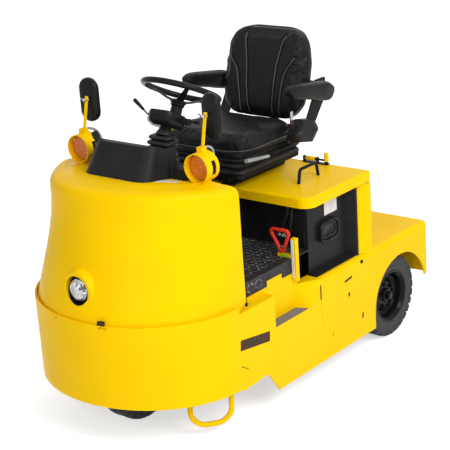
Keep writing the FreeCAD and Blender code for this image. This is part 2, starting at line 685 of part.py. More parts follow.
def boot_layer(half, depth, low, height):
    """One rounded level layer of the boot, which leans back as it rises."""
    y = s.boot_y + (low - 1190) * 0.13
    outline = [(-half, y - depth), (half, y - depth), (half, y + depth), (-half, y + depth)]
    return slab(outline, 20, on_xy(low), Vector(0, 0, height))


def column_boot():
    """Ribbed rubber boot on the shelf, closed by a bell round the column."""
    ribs = [(60, 38), (65, 43), (63, 42), (57, 38), (51, 35)]
    pitch = 23
    layers = [boot_layer(48, 32, 1075, s.boot_top - 1075)]
    for index, (half, depth) in enumerate(ribs):
        layers.append(boot_layer(half, depth, s.boot_top - 14 - pitch * index, 14))
    bell_axis = Vector(0, 0.35, 0.94)
    bell = Part.makeCone(38, 21, 44, Vector(0, s.boot_y + 14, s.boot_top - 4), bell_axis)
    return layers[0].fuse(layers[1:] + [bell]).removeSplitter()


def column_housing():
    """Switch housing ahead of the hub, narrower below, with a lever at each side."""
    def ring(inset, z):
        outline = [(-92, -72), (-48, -110), (44, -110), (60, -94), (66, -8), (38, 34), (-38, 34), (-82, -8)]
        corners = [(x - math.copysign(inset, x), y - math.copysign(inset, y)) for x, y in outline]
        return rounded_wire(corners, 9, on_xy(z))
    neck_height = 38
    top = -(s.hub_drop + neck_height)
    case = Part.makeLoft([ring(4, top), ring(0, top - 8), ring(0, top - 40), ring(18, top - 66)], True, True)
    neck = Part.makeCylinder(26, neck_height - 0.4, Vector(0, 0, top))
    socket_end = Part.makeBox(40, 38, 26, Vector(54, -34, top - 36))
    right_way = Vector(-0.88, 0.06, 0.48)
    right_lever = Part.makeCylinder(4, 70, Vector(-74, -69, top - 35), right_way)
    right_knob = Part.makeCone(6, 9.5, 80, Vector(-130, -65, top - 4), right_way)
    left_way = Vector(1, 0.1, 0.1)
    left_lever = Part.makeCylinder(4, 44, Vector(84, -14, top - 24), left_way)
    left_knob = Part.makeCone(6, 9, 34, Vector(122, -10, top - 20), left_way)
    levers = [right_lever, right_knob, left_lever, left_knob]
    return column_local(case.fuse([neck, socket_end] + levers).removeSplitter())


def steering_wheel():
    """Rim, three spokes that slope down to a deep hub, turning on the column."""
    reach = s.wheel_radius - s.wheel_tube
    dish = 42
    rim_bar = Part.makeTorus(reach, s.wheel_tube)
    cup = Part.makeCone(28, 33, s.hub_drop - dish - 8, Vector(0, 0, -s.hub_drop))
    cap = Part.makeCone(38, 30, 14, Vector(0, 0, -dish - 8))
    pieces = [cup, cap]
    for angle in (80, 200, 320):
        side = [(20, -dish - 6), (reach, -6), (reach, 4), (20, -dish + 4)]
        web = slab(side, 0, on_xz(-20), Vector(0, 40, 0))
        plan = slab([(20, -19), (reach, -8), (reach, 8), (20, 19)], 0, on_xy(-80), Vector(0, 0, 100))
        spoke = web.common(plan)
        spoke.rotate(Vector(0, 0, 0), Z_AXIS, angle)
        pieces.append(spoke)
    return column_local(rim_bar.fuse(pieces).removeSplitter())


def lamp_guard():
    """Ring strip round the lamp, its foot, the socket block and the mirror's leaning stem."""
    x = s.guard_x
    z = s.guard_z
    radius = s.guard_radius
    front = s.guard_front
    outer = Part.makeCylinder(radius, 78, Vector(x, front, z), Y_AXIS)
    inner = Part.makeCylinder(radius - 4, 80, Vector(x, front - 1, z), Y_AXIS)
    foot = Part.makeBox(44, 50, 40, Vector(x - 22, front + 20, z - radius - 22))
    block = Part.makeBox(30, 30, 28, Vector(x - 15, s.stem_y - 22, z + radius - 8))
    stem_low = z + radius + 12
    stem = Part.makeBox(10, 10, s.mirror_z + 26 - stem_low, Vector(x - 5, s.stem_y - 5, stem_low))
    lean = math.degrees(math.atan2(s.mirror_y - s.stem_y, s.mirror_z - stem_low))
    stem.rotate(Vector(x, s.stem_y, stem_low), X_AXIS, -lean)
    clamp = Part.makeCylinder(9, 16, Vector(x, s.mirror_y - 8, s.mirror_z + 8), Y_AXIS)
    right_slot = Part.makeBox(16, 26, 66, Vector(x - radius - 4, front + 34, z - 33))
    left_slot = Part.makeBox(16, 26, 66, Vector(x + radius - 12, front + 34, z - 33))
    ring = outer.fuse([foot, block, stem, clamp]).cut([inner, right_slot, left_slot])
    return ring.cut(cowl_crown(0, s.cowl_rear)).removeSplitter()


def indicator_lens():
    """Amber lens on its black lamp body, held inside the ring."""
    x = s.guard_x
    z = s.guard_z
    lens = Part.makeCone(52, 56, 14, Vector(x, s.guard_front + 26, z), Y_AXIS)
    body = Part.makeCone(56, 52, 24, Vector(x, s.guard_front + 40, z), Y_AXIS)
    strap = Part.makeBox(20, 18, 6.6, Vector(x - 10, s.guard_front + 44, z + s.guard_radius - 11.5))
    return lens.fuse([body, strap]).cut(cowl_crown(0, s.cowl_rear)).removeSplitter()


def mirror():
    """Stadium-shaped mirror head, its glass facing the driver."""
    outline = [(-50, -100), (50, -100), (50, 100), (-50, 100)]
    head = slab(outline, 49.5, on_xz(0), Vector(0, 16, 0))
    head.rotate(Vector(0, 0, 0), Z_AXIS, -6)
    head.translate(Vector(s.guard_x + 9, s.mirror_y + 24, s.mirror_z))
    bolt = Part.makeCylinder(4, 20, Vector(s.guard_x, s.mirror_y + 8, s.mirror_z + 8), Y_AXIS)
    return head.fuse(bolt).removeSplitter()


def tie_down_loop():
    """Bent bar that hangs below the nose deck."""
    top = s.cowl_base - s.plate
    points = [(353, -764, top), (353, -764, 58), (468, -621, 58), (468, -621, top)]
    return tube([Vector(*point) for point in points], 72, 12)


def brake_grip():
    """Open triangular hand grip on the parking brake lever."""
    y = -130
    outline = [(335, 780), (465, 782), (422, 668), (403, 668)]
    outer = slab(outline, [20, 20, 6, 6], on_xz(y - 9), Vector(0, 18, 0))
    opening = slab([(362, 763), (440, 764), (412, 690)], 8, on_xz(y - 12), Vector(0, 24, 0))
    lever = Part.makeBox(16, 12, 20, Vector(404, y - 6, 656))
    return outer.cut(opening).fuse(lever).removeSplitter()


def brake_bracket():
    """Upright channel beside the grip, with the arm that carries the lever's pivot."""
    y = -130
    outer = s.step_inner + s.floor_sheet + 0.5
    upright = Part.makeBox(22, 24, 203, Vector(outer, y - 12, 543))
    arm = Part.makeBox(outer - 390, 20, 14, Vector(390, y - 10, s.floor_top))
    slot = Part.makeBox(16.4, 12.4, 30, Vector(403.8, y - 6.2, 655.9))
    return upright.fuse(arm).cut(slot).removeSplitter()


def hinge_pair(maker):
    """One hinge piece at each side of the hood."""
    return [maker(-300), maker(300)]


def hood_hinges():
    """Fixed knuckles behind the bulkhead."""
    def knuckles(x):
        foot = Part.makeBox(70, 26, 40, Vector(x - 35, s.bulkhead_rear, 810))
        ears = []
        for low in (x - 35, x + 15):
            ears.append(Part.makeBox(20, 12, 34, Vector(low, s.hinge_y - 6, 846)))
            ears.append(Part.makeCylinder(9, 20, Vector(low, s.hinge_y, s.hinge_z), X_AXIS))
        bore = Part.makeCylinder(5 + s.hub_fit, 80, Vector(x - 40, s.hinge_y, s.hinge_z), X_AXIS)
        return foot.fuse(ears).cut(bore).removeSplitter()
    return Part.makeCompound(hinge_pair(knuckles))


def hood_leaves():
    """Leaves and pins on the cover's rear edge."""
    def leaf(x):
        reach = s.hinge_y - s.hood_rear
        plate = Part.makeBox(28, reach, 12, Vector(x - 14, s.hood_rear, s.hinge_z - 6))
        barrel = Part.makeCylinder(9, 28, Vector(x - 14, s.hinge_y, s.hinge_z), X_AXIS)
        pin = Part.makeCylinder(5, 74, Vector(x - 37, s.hinge_y, s.hinge_z), X_AXIS)
        return plate.fuse([barrel, pin])
    return hinge_pair(leaf)


def pedals():
    """Accelerator on the right and brake on the left, on short stalks."""
    pads = []
    for x, half in ((-130, 34), (90, 48)):
        pad = Part.makeBox(2 * half, 10, 90, Vector(x - half, 0, 0))
        pad.rotate(Vector(x, 0, 0), X_AXIS, 32)
        pad.translate(Vector(0, -610, s.floor_top + 12))
        stalk = Part.makeBox(14, 26, 26, Vector(x - 7, -626, s.floor_top))
        pads.append(pad.fuse(stalk).removeSplitter())
    return Part.makeCompound(pads)


def belt_retractor():
    """Reel housing at the left of the seat, with the buckle tongue standing out of it."""
    reel_outline = [(141, 1132), (180, 1086), (283, 1064), (339, 1114), (302, 1168), (204, 1186)]
    reel = slab(reel_outline, [16, 12, 18, 20, 18, 20], on_yz(263), Vector(44, 0, 0))
    tongue_outline = [(142, 1180), (166, 1168), (164, 1236), (140, 1240)]
    tongue = slab(tongue_outline, 5, on_yz(286), Vector(3, 0, 0))
    web = slab([(144, 1150), (180, 1140), (184, 1176), (150, 1188)], 3, on_yz(280), Vector(12, 0, 0))
    return reel.fuse([web, tongue]).removeSplitter()


def weight_lever():
    """Suspension adjuster: a grey grip on a short crank at the front left."""
    grip = Part.makeCylinder(11, 96, Vector(240, -128, 1079), Vector(0.1, 1, 0.05))
    crank = Part.makeCylinder(7, 30, Vector(210.3, -118, 1080), X_AXIS)
    return grip.fuse(crank).removeSplitter()


# ---------------------------------------------------------------- the sub-parts

left_frame = node("side_frame_left", fixed("left_side", side_frame()))
node("side_frame_right", mirrored("right_side", left_frame))
node("underframe", fixed("frame", underframe()))
node("front_bumper", fixed("bumper", front_bumper()))
node("front_cowl", fixed("cowl", front_cowl()))
node("dash_console", fixed("console_shell", console().cut(front_cowl())))
node("floor_plate", fixed("floor_sheet_part", floor_plate()))
node("headlight_bezel", fixed("headlight_seat", headlight_cup()))
lens_base = (0, "lamp_face + 8", "lamp_height")
node("headlight_lens", rod("lens", "lamp_radius - 8.3", 12, lens_base, Y_AXIS))
node("rear_deck", fixed("deck", rear_deck()))
node("rear_bulkhead", fixed("bulkhead", bulkhead()))
front_panel = block("front_panel", ("-battery_side", "battery_side"),
                    ("battery_front", "battery_front + 6"), ("floor_top", "hood_skirt - 8"))
node("battery_front_panel", front_panel)
side_panel = node("battery_side_panel_left", fixed("side_panel", battery_side_panel()))
node("battery_side_panel_right", mirrored("side_panel_right", side_panel))
node("battery_leads", fixed("leads", battery_leads()))
node("battery_block", block("battery", ("-400", "400"), ("30", "390"), ("248", "780")))
socket = block("socket", ("battery_side + 6", "battery_side + 30"), ("84", "232"), ("643", "746"))
node("charge_socket", socket)
node("drive_axle", fixed("axle_housing", drive_axle()))
node("tow_coupling", fixed("coupling", tow_hitch()))
node("tow_pin", fixed("coupling_pin", tow_pin()))
node("lamp_guards", fixed("guards", both_sides(lamp_guard())))
node("indicator_lenses", fixed("lenses", both_sides(indicator_lens())))
node("mirrors", fixed("mirror_pair", both_sides(mirror())))
node("tie_down_loops", fixed("loops", both_sides(tie_down_loop())))
node("column_boot", fixed("boot", column_boot().cut(column_housing())))
node("column_housing", fixed("switch_housing", column_housing()))
node("brake_grip", fixed("grip", brake_grip()))
node("brake_bracket", fixed("grip_bracket", brake_bracket()))
node("hood_hinges", fixed("hinges", hood_hinges()))
node("pedals", fixed("pedal_pair", pedals()))
node("hood_cover", fixed("hood_shell", hood()))
node("grab_handles", fixed("handles", both_sides(grab_handle(350, 100, 256).cut(hood()))))
node("hood_latch", fixed("latch", hood_latch()))
node("seat_base", fixed("suspension", seat_base()))
node("seat_cushion", fixed("seat_pad", cushion()))
node("seat_backrest", fixed("back_pad", backrest()))
node("seat_frame", fixed("brackets", seat_frame()))
node("belt_retractor", fixed("retractor", belt_retractor()))
node("weight_lever", fixed("adjuster", weight_lever()))
node("armrest_left", fixed("left_pad", armrest(1)))
node("armrest_right", fixed("right_pad", armrest(-1)))

for side, sign in (("left", 1), ("right", -1)):
    turn = Rotation(Z_AXIS, 0 if sign > 0 else 180)
    for label, shape in (("tyre", tyre()), ("rim", rim())):
        wheel = fixed(f"{side}_{label}", shape)
        wheel.Placement = FreeCAD.Placement(Vector(0, 0, 0), turn)
        place(wheel, f"{sign} * rear_wheel_x", "rear_axle_y", "tyre_radius")
        node(f"rear_{label}_{side}", wheel)
for label, shape in (("tyre", tyre()), ("rim", rim())):
    wheel = fixed(f"steered_{label}", shape)
    place(wheel, 0, "front_axle_y", "tyre_radius")
    node(f"front_{label}", wheel)
node("steer_fork", fixed("fork", steer_fork()))
node("steering_wheel", fixed("hand_wheel", steering_wheel()))

doc.recompute()
for item in doc.Objects:
    if {"Invalid", "Error"} & set(item.State):
        raise RuntimeError(f"{item.Name} failed: {item.State}")
for item in nodes:
    if item.Shape.isNull() or not item.Shape.isValid():
        raise RuntimeError(f"{item.Label} has no valid shape")

os.makedirs("parts", exist_ok=True)
for item in nodes:
    item.Shape.exportStep(f"parts/{item.Label}.step")
    box = item.Shape.BoundBox
    print(f"{item.Label:24} solids {len(item.Shape.Solids)}  volume {item.Shape.Volume / 1e6:8.3f} l",
          f"x {box.XMin:.0f}..{box.XMax:.0f}  y {box.YMin:.0f}..{box.YMax:.0f}",
          f"z {box.ZMin:.0f}..{box.ZMax:.0f}")
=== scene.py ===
import json
import math

import bmesh
import bpy
from bpy.props import FloatProperty, FloatVectorProperty, IntProperty, PointerProperty
from mathutils import Matrix, Vector
from mathutils.bvhtree import BVHTree
from mathutils.kdtree import KDTree


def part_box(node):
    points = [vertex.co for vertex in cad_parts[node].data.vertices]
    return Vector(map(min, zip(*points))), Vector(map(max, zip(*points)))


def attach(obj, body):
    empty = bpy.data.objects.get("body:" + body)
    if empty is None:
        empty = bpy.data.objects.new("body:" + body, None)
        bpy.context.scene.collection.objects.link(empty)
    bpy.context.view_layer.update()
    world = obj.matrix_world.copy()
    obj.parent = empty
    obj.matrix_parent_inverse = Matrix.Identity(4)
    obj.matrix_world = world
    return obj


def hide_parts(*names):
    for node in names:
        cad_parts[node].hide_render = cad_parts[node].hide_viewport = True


bl_info = {
    "name": "Electric tow tractor",
    "version": (1, 0, 0),
    "blender": (4, 5, 0),
    "location": "View3D > Sidebar > Tow tractor",
    "description": "Dresses a seated three-wheel electric tow tractor, piece by piece",
    "category": "Object",
}

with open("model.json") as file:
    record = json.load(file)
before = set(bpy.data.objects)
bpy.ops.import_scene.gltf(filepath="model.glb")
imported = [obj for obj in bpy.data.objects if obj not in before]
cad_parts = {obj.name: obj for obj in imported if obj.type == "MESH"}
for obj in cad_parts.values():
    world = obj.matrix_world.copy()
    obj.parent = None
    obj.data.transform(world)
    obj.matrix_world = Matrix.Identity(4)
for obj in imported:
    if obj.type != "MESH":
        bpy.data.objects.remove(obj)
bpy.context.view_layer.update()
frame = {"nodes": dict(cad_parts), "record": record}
MM = 0.001
X = Vector((1, 0, 0))
Y = Vector((0, 1, 0))
Z = Vector((0, 0, 1))
HERE = Matrix.Identity(4)


# ---------------------------------------------------------------- colours and materials

def linear(code):
    """Turn an sRGB hex colour into the linear colour that Blender mixes in."""
    parts = [int(code[i:i + 2], 16) / 255 for i in (1, 3, 5)]
    return [c / 12.92 if c <= 0.04045 else ((c + 0.055) / 1.055) ** 2.4 for c in parts] + [1.0]


def shade(colour, factor):
    """A lighter or darker copy of a colour."""
    return [min(1.0, c * factor) for c in colour[:3]] + [1.0]


def add(tree, kind, inputs=None, feeds=None, **settings):
    """Add one node with its settings; inputs are values or sockets, feeds links its outputs onwards."""
    item = tree.nodes.new(kind)
    for name, value in settings.items():
        setattr(item, name, value)
    for name, value in (inputs or {}).items():
        if isinstance(value, bpy.types.NodeSocket):
            tree.links.new(value, item.inputs[name])
        else:
            item.inputs[name].default_value = value
    for name, socket in (feeds or {}).items():
        tree.links.new(item.outputs[name], socket)
    return item


def surface(name, colour, roughness, **constants):
    """Start a material; constants are set on the shader's own sockets. Returns it with its base: its
    tree, its shader's inputs and its object coordinates."""
    item = bpy.data.materials.new(name)
    item.use_nodes = True
    tree = item.node_tree
    sockets = tree.nodes["Principled BSDF"].inputs
    sockets["Base Color"].default_value = colour
    sockets["Roughness"].default_value = roughness
    for socket, value in constants.items():
        sockets[socket.replace("_", " ")].default_value = value
    place = add(tree, "ShaderNodeTexCoord").outputs["Object"]
    return item, (tree, sockets, place)


def patchy(base, size, detail, colours, roughness):
    """Cloudy wear with patches of about size mm: it runs the colour and the roughness between two
    values, and is returned as a 0 to 1 pattern."""
    tree, sockets, place = base
    # Noise seldom leaves the range that is spread here.
    least, most = 0.32, 0.68
    cloud = add(tree, "ShaderNodeTexNoise", {"Vector": place, "Scale": 1 / (size * MM), "Detail": detail})
    spread = add(tree, "ShaderNodeMapRange", {"Value": cloud.outputs["Fac"], "From Min": least,
                                              "From Max": most})
    add(tree, "ShaderNodeMix", {"Factor": spread.outputs["Result"], "A": colours[0], "B": colours[1]},
        {"Result": sockets["Base Color"]}, data_type="RGBA")
    add(tree, "ShaderNodeMapRange", {"Value": spread.outputs["Result"], "To Min": roughness[0],
                                     "To Max": roughness[1]}, {"Result": sockets["Roughness"]})
    return spread.outputs["Result"]


def relief(base, size, depth, detail=None):
    """Bump of grains about size mm across and depth mm deep: noise of some detail, or cells."""
    tree, sockets, place = base
    if detail is None:
        grain = add(tree, "ShaderNodeTexVoronoi", {"Vector": place, "Scale": 1 / (size * MM)},
                    feature="DISTANCE_TO_EDGE").outputs["Distance"]
    else:
        grain = add(tree, "ShaderNodeTexNoise", {"Vector": place, "Scale": 1 / (size * MM),
                                                 "Detail": detail}).outputs["Fac"]
    add(tree, "ShaderNodeBump", {"Height": grain, "Distance": depth * MM}, {"Normal": sockets["Normal"]})


def enamel(name, colour):
    """Two-pack enamel sprayed on steel sheet: glossy, with faint orange peel and cloudy dust."""
    item, base = surface(name, colour, 0.34, Specular_IOR_Level=0.05)
    patchy(base, 240, 4, (colour, shade(colour, 0.955)), (0.30, 0.42))
    # Orange peel is 2 mm across and is drawn 7 mm, so that it shows.
    relief(base, 7, 0.05, 1)
    return item


def powder(name, colour, roughness=0.45):
    """Satin powder coat on steel: fine even texture, slightly lighter where it is rubbed."""
    item, base = surface(name, colour, roughness, Specular_IOR_Level=0.08)
    patchy(base, 60, 5, (shade(colour, 0.85), shade(colour, 1.35)), (roughness - 0.07, roughness + 0.08))
    # Powder texture is 0.8 mm across and is drawn 2.5 mm.
    relief(base, 2.5, 0.06, 2)
    return item


def moulded(name, colour, roughness=0.42):
    """Injection-moulded polypropylene: a fine leather grain from the tool, and a dull sheen."""
    item, base = surface(name, colour, roughness, Specular_IOR_Level=0.1)
    patchy(base, 90, 4, (shade(colour, 0.9), shade(colour, 1.3)), (roughness - 0.06, roughness + 0.08))
    # The grain's cells are 1.2 mm across and are drawn 3 mm.
    relief(base, 3, 0.08)
    return item


def vinyl(name, colour):
    """PVC leathercloth over foam: pebbled grain, soft creases and a satin gloss."""
    item, base = surface(name, colour, 0.36, Specular_IOR_Level=0.12)
    tree, sockets, place = base
    patchy(base, 70, 4, (shade(colour, 0.85), shade(colour, 1.25)), (0.33, 0.46))
    slack = add(tree, "ShaderNodeTexNoise", {"Vector": place, "Scale": 1 / (45 * MM), "Detail": 2})
    creases = add(tree, "ShaderNodeBump", {"Height": slack.outputs["Fac"], "Distance": 1.2 * MM})
    # Leather grain is 1.5 mm across and is drawn 3.5 mm.
    cells = add(tree, "ShaderNodeTexVoronoi", {"Vector": place, "Scale": 1 / (3.5 * MM), "Randomness": 0.9},
                feature="DISTANCE_TO_EDGE")
    add(tree, "ShaderNodeBump", {"Height": cells.outputs["Distance"], "Distance": 0.12 * MM,
                                 "Normal": creases.outputs["Normal"]}, {"Normal": sockets["Normal"]})
    return item


def rubber(name, colour, roughness=0.72):
    """Carbon-black rubber out of a mould: dull, with grey dust in patches and fine grain."""
    item, base = surface(name, colour, roughness, Specular_IOR_Level=0.2)
    patchy(base, 45, 6, (shade(colour, 0.8), shade(colour, 1.6)), (roughness - 0.12, roughness + 0.1))
    # Mould grain is 0.5 mm and is drawn 2 mm.
    relief(base, 2, 0.08, 2)
    return item


def casting(name, colour):
    """Sand-cast iron under grey primer: coarse skin, dull, with oily darker patches."""
    item, base = surface(name, colour, 0.6)
    patchy(base, 50, 5, (shade(colour, 0.6), shade(colour, 1.3)), (0.45, 0.7))
    # Sand grain is 1 mm and is drawn 4 mm.
    relief(base, 4, 0.35, 4)
    return item


def zinc(name, colour):
    """Zinc-plated steel: bright grey metal with a soft crystalline bloom."""
    item, base = surface(name, colour, 0.32, Metallic=1.0)
    tree, sockets = base[:2]
    bloom = patchy(base, 9, 4, (shade(colour, 0.75), colour), (0.24, 0.42))
    add(tree, "ShaderNodeBump", {"Height": bloom, "Distance": 0.02 * MM}, {"Normal": sockets["Normal"]})
    return item


def chequer(name, colour, worn):
    """Black paint on chequer plate: dull in the field, rubbed to grey in patches by shoes. A light second
    colour also stands in for painted glints.
    """
    item, base = surface(name, colour, 0.5, Specular_IOR_Level=0.25)
    patchy(base, 22, 6, (colour, worn), (0.6, 0.36))
    relief(base, 3, 0.12, 3)
    return item


def lens(name, colour, roughness, clear):
    """Moulded acrylic: clear or dyed through, smooth outside, with a faint ripple from the tool."""
    item, base = surface(name, colour, roughness, IOR=1.49, Transmission_Weight=clear)
    tree, sockets = base[:2]
    ripple = patchy(base, 14, 2, (colour, shade(colour, 0.9)), (roughness * 0.7, roughness * 1.4 + 0.01))
    add(tree, "ShaderNodeBump", {"Height": ripple, "Distance": 0.15 * MM}, {"Normal": sockets["Normal"]})
    return item


def bright(name, colour, roughness):
    """Vacuum-metallised reflector or silvered mirror glass: bright, with a trace of haze."""
    item, base = surface(name, colour, roughness, Metallic=1.0)
    patchy(base, 40, 4, (shade(colour, 0.93), colour), (roughness, roughness + 0.06))
    return item


def film(name, colour, roughness=0.35):
    """Printed polyester label or decal: flat, smooth, slightly soiled and dulled by wiping."""
    item, base = surface(name, colour, roughness, Specular_IOR_Level=0.15)
    patchy(base, 30, 5, (colour, shade(colour, 0.86)), (roughness - 0.08, roughness + 0.12))
    return item


def grit(name, colour):
    """Anti-slip pad: mineral grit in grey paint, matt and evenly rough."""
    item, base = surface(name, colour, 0.85)
    tree, sockets, place = base
    # The grit is 0.6 mm and is drawn 2 mm.
    grain = add(tree, "ShaderNodeTexVoronoi", {"Vector": place, "Scale": 1 / (2 * MM)}).outputs["Distance"]
    add(tree, "ShaderNodeMix", {"Factor": grain, "A": shade(colour, 1.12), "B": shade(colour, 0.8)},
        {"Result": sockets["Base Color"]}, data_type="RGBA")
    add(tree, "ShaderNodeBump", {"Height": grain, "Distance": 0.35 * MM}, {"Normal": sockets["Normal"]})
    return item


# ---------------------------------------------------------------- sizes and colours to change

def colour_choice(name, code, description):
    """A colour that the user may change, from its sRGB code."""
    return FloatVectorProperty(name=name, description=description, subtype="COLOR", size=4, min=0, max=1,
                               default=linear(code))


def length_choice(name, default, least, most, description):
    """A length in metres that the user may change."""
    return FloatProperty(name=name, description=description, subtype="DISTANCE", unit="LENGTH",
                         default=default, min=least, max=most)


class TractorColours(bpy.types.PropertyGroup):
    """Colours of the tractor's finishes."""
    body: colour_choice("Body enamel", "#FFCE00", "Sheet metal, cowl, hood and guards")
    dark: colour_choice("Dark parts", "#1A1A1C", "Powder-coated frame and battery panels")
    plastic: colour_choice("Plastic", "#1E1E20", "Console, switch housing and mirror backs")
    seat: colour_choice("Seat vinyl", "#18181A", "Cushion, backrest and armrests")
    tyre: colour_choice("Tyre rubber", "#38383A", "Tyres and bellows")
    signal: colour_choice("Indicator amber", "#DE7A1A", "Lenses of the two indicators")
    grip: colour_choice("Brake grip red", "#E23A26", "Parking-brake grip")


class TractorSizes(bpy.types.PropertyGroup):
    """Sizes of the pieces that are dressed here."""
    lug_count: IntProperty(name="Lugs", description="Tread lugs round each shoulder of a tyre",
                           default=28, min=12, max=40)
    nut_count: IntProperty(name="Wheel nuts", description="Nuts round the hub of each wheel",
                           default=5, min=3, max=8)
    chequer_pitch: length_choice("Chequer pitch", 0.028, 0.015, 0.06,
                                 "Distance between the raised marks of the floor plate")
    piping: length_choice("Piping", 0.0055, 0.003, 0.01, "Thickness of the piping along the seat's seams")
    swell: length_choice("Padding swell", 0.012, 0.004, 0.03,
                         "Furthest that the seat's covers are blown out from their pattern")


finishes = {}


def make_finishes(colours):
    """Make every finish once, from the colours that the user may change."""
    dark = list(colours.dark)
    plastic = list(colours.plastic)
    tyre = list(colours.tyre)
    finishes.update(
        enamel=enamel("two_pack_enamel_yellow", list(colours.body)),
        powder=powder("satin_powder_coat_black", dark),
        # A lighter copy of the dark powder coat: painted light on the recessed battery panels and strips,
        # which show grey in the lighting.
        panel=powder("battery_panel_powder_coat_painted_light", shade(dark, 1.25), 0.38),
        moulded=moulded("moulded_polypropylene_black", plastic),
        gloss=moulded("gloss_moulded_nylon_black", shade(plastic, 0.8), 0.24),
        vinyl=vinyl("seat_leathercloth_black", list(colours.seat)),
        # The piping's mid grey is painted highlight: the real piping is glossy black, and the grey stands for
        # light glinting along it.
        piping=vinyl("seat_piping_painted_highlight_grey", linear("#4E4E50")),
        rubber=rubber("tyre_rubber", tyre),
        bellows=rubber("moulded_bellows_rubber", shade(tyre, 0.4), 0.46),
        rim=powder("gloss_black_rim_enamel", shade(dark, 0.6), 0.22),
        casting=casting("cast_iron_dark_primer", linear("#3C3C3E")),
        zinc=zinc("zinc_plated_steel", linear("#B9B9B6")),
        chequer=chequer("chequer_plate_painted", linear("#161618"), linear("#2C2C2E")),
        # Raised marks rubbed to light grey: real wear, together with painted glints of light on the marks.
        worn=chequer("chequer_marks_worn_bright", linear("#1C1C1E"), linear("#8C8C8E")),
        clear=lens("clear_acrylic_lens", linear("#F5F8FA"), 0.04, 0.95),
        amber=lens("amber_acrylic_lens", list(colours.signal), 0.14, 0.12),
        chrome=bright("metallised_reflector", linear("#E8E8EA"), 0.08),
        mirror=bright("silvered_mirror_glass", linear("#DDE2E4"), 0.02),
        grip=film("dipped_red_vinyl", list(colours.grip), 0.3),
        label=film("polyester_label_white", linear("#E8E4DF")),
        lime=film("polyester_label_lime", linear("#BED728")),
        # Dark brown film: a decal on the side band, and painted shade for the slots, the hole and the bumper
        # slot.
        stripe=film("dark_brown_decal_and_painted_slot_shade", linear("#3C230A"), 0.3),
        grey=moulded("moulded_grey_lever_plastic", linear("#9A9A9C"), 0.4),
        pad=grit("anti_slip_grit_grey", linear("#737375")),
    )


cad_finish = {
    "enamel": ["side_frame_left", "side_frame_right", "front_bumper", "front_cowl", "rear_deck",
               "rear_bulkhead", "lamp_guards", "tie_down_loops", "brake_bracket", "hood_hinges",
               "hood_cover"],
    "powder": ["underframe", "battery_block", "grab_handles", "seat_frame", "hood_latch"],
    "panel": ["battery_front_panel", "battery_side_panel_left", "battery_side_panel_right"],
    "moulded": ["dash_console", "headlight_bezel", "charge_socket", "mirrors", "column_housing", "pedals",
                "belt_retractor", "weight_lever", "steering_wheel"],
    "vinyl": ["seat_cushion", "seat_backrest", "armrest_left", "armrest_right"],
    "chequer": ["floor_plate"],
    "bellows": ["column_boot", "seat_base", "battery_leads"],
    "rubber": ["rear_tyre_left", "rear_tyre_right", "front_tyre"],
    "rim": ["rear_rim_left", "rear_rim_right", "front_rim"],
    "casting": ["drive_axle", "tow_coupling", "steer_fork"],
    "zinc": ["tow_pin"],
    "clear": ["headlight_lens"],
    "amber": ["indicator_lenses"],
    "grip": ["brake_grip"],
}


# ---------------------------------------------------------------- mesh tools

def full_turn(count):
    """Angles evenly spaced round a circle."""
    return [math.tau * i / count for i in range(count)]


def skin(rings, loop=False):
    """A surface skinned through rings of equally many points, closed by caps or into a loop."""
    shape = bmesh.new()
    rows = [[shape.verts.new(point) for point in ring] for ring in rings]
    pairs = list(zip(rows, rows[1:]))
    if loop:
        pairs.append((rows[-1], rows[0]))
    for low, high in pairs:
        for i in range(len(low)):
            j = (i + 1) % len(low)
            shape.faces.new((low[i], low[j], high[j], high[i]))
    if not loop:
        shape.faces.new(rows[0])
        shape.faces.new(rows[-1])
    bmesh.ops.remove_doubles(shape, verts=shape.verts, dist=1e-6)
    bmesh.ops.recalc_face_normals(shape, faces=shape.faces)
    return shape


def stacked(ring, rows):
    """A surface skinned through rings that one function draws, each from its row of values."""
    return skin([ring(*row) for row in rows])


def axis_frame(origin, z_axis, x_hint=None):
    """A matrix that puts a piece's own origin and z axis where they belong."""
    z = Vector(z_axis).normalized()
    hint = Vector(x_hint) if x_hint else (X if abs(z.x) < 0.9 else Y)
    y = z.cross(hint).normalized()
    turn = Matrix((y.cross(z), y, z)).transposed()
    return Matrix.Translation(origin) @ turn.to_4x4()


def lathe(profile, place, steps=64, loop=False):
    """A profile of (radius, height) turned about place's z axis."""
    return skin([[place @ Vector((r * math.cos(a), r * math.sin(a), h)) for a in full_turn(steps)]
                 for r, h in profile], loop)


def rounded(points, radius, steps=5):
    """A flat outline with each corner turned into an arc."""
    out = []
    for i, corner in enumerate(points):
        here = Vector(corner)
        before = (Vector(points[i - 1]) - here).normalized()
        after = (Vector(points[(i + 1) % len(points)]) - here).normalized()
        size = radius[i] if isinstance(radius, (list, tuple)) else radius
        half = before.angle(after) / 2
        if size <= 0 or half > 1.55:
            out.append(here)
            continue
        start = here + before * size / math.tan(half)
        end = here + after * size / math.tan(half)
        centre = here + (before + after).normalized() * size / math.sin(half)
        first = start - centre
        sweep = first.angle_signed(end - centre)
        for step in range(steps + 1):
            turn = Matrix.Rotation(-sweep * step / steps, 2)
            out.append(centre + turn @ first)
    return [(p.x, p.y) for p in out]


def oblong(wide, tall, radius, steps=5):
    """A flat rectangle between two ranges, with rounded corners."""
    (left, right), (near, far) = wide, tall
    return rounded([(left, near), (right, near), (right, far), (left, far)], radius, steps)


def level_ring(half, front, rear, z, corner, steps=5):
    """A rounded level outline, as a ring of points."""
    return [Vector((x, y, z)) for x, y in oblong((-half, half), (front, rear), corner, steps)]


def soften(shape, edges, bevel, steps):
    """Round some edges of a surface."""
    bmesh.ops.bevel(shape, geom=edges, offset=bevel, segments=steps, affect="EDGES", profile=0.6)


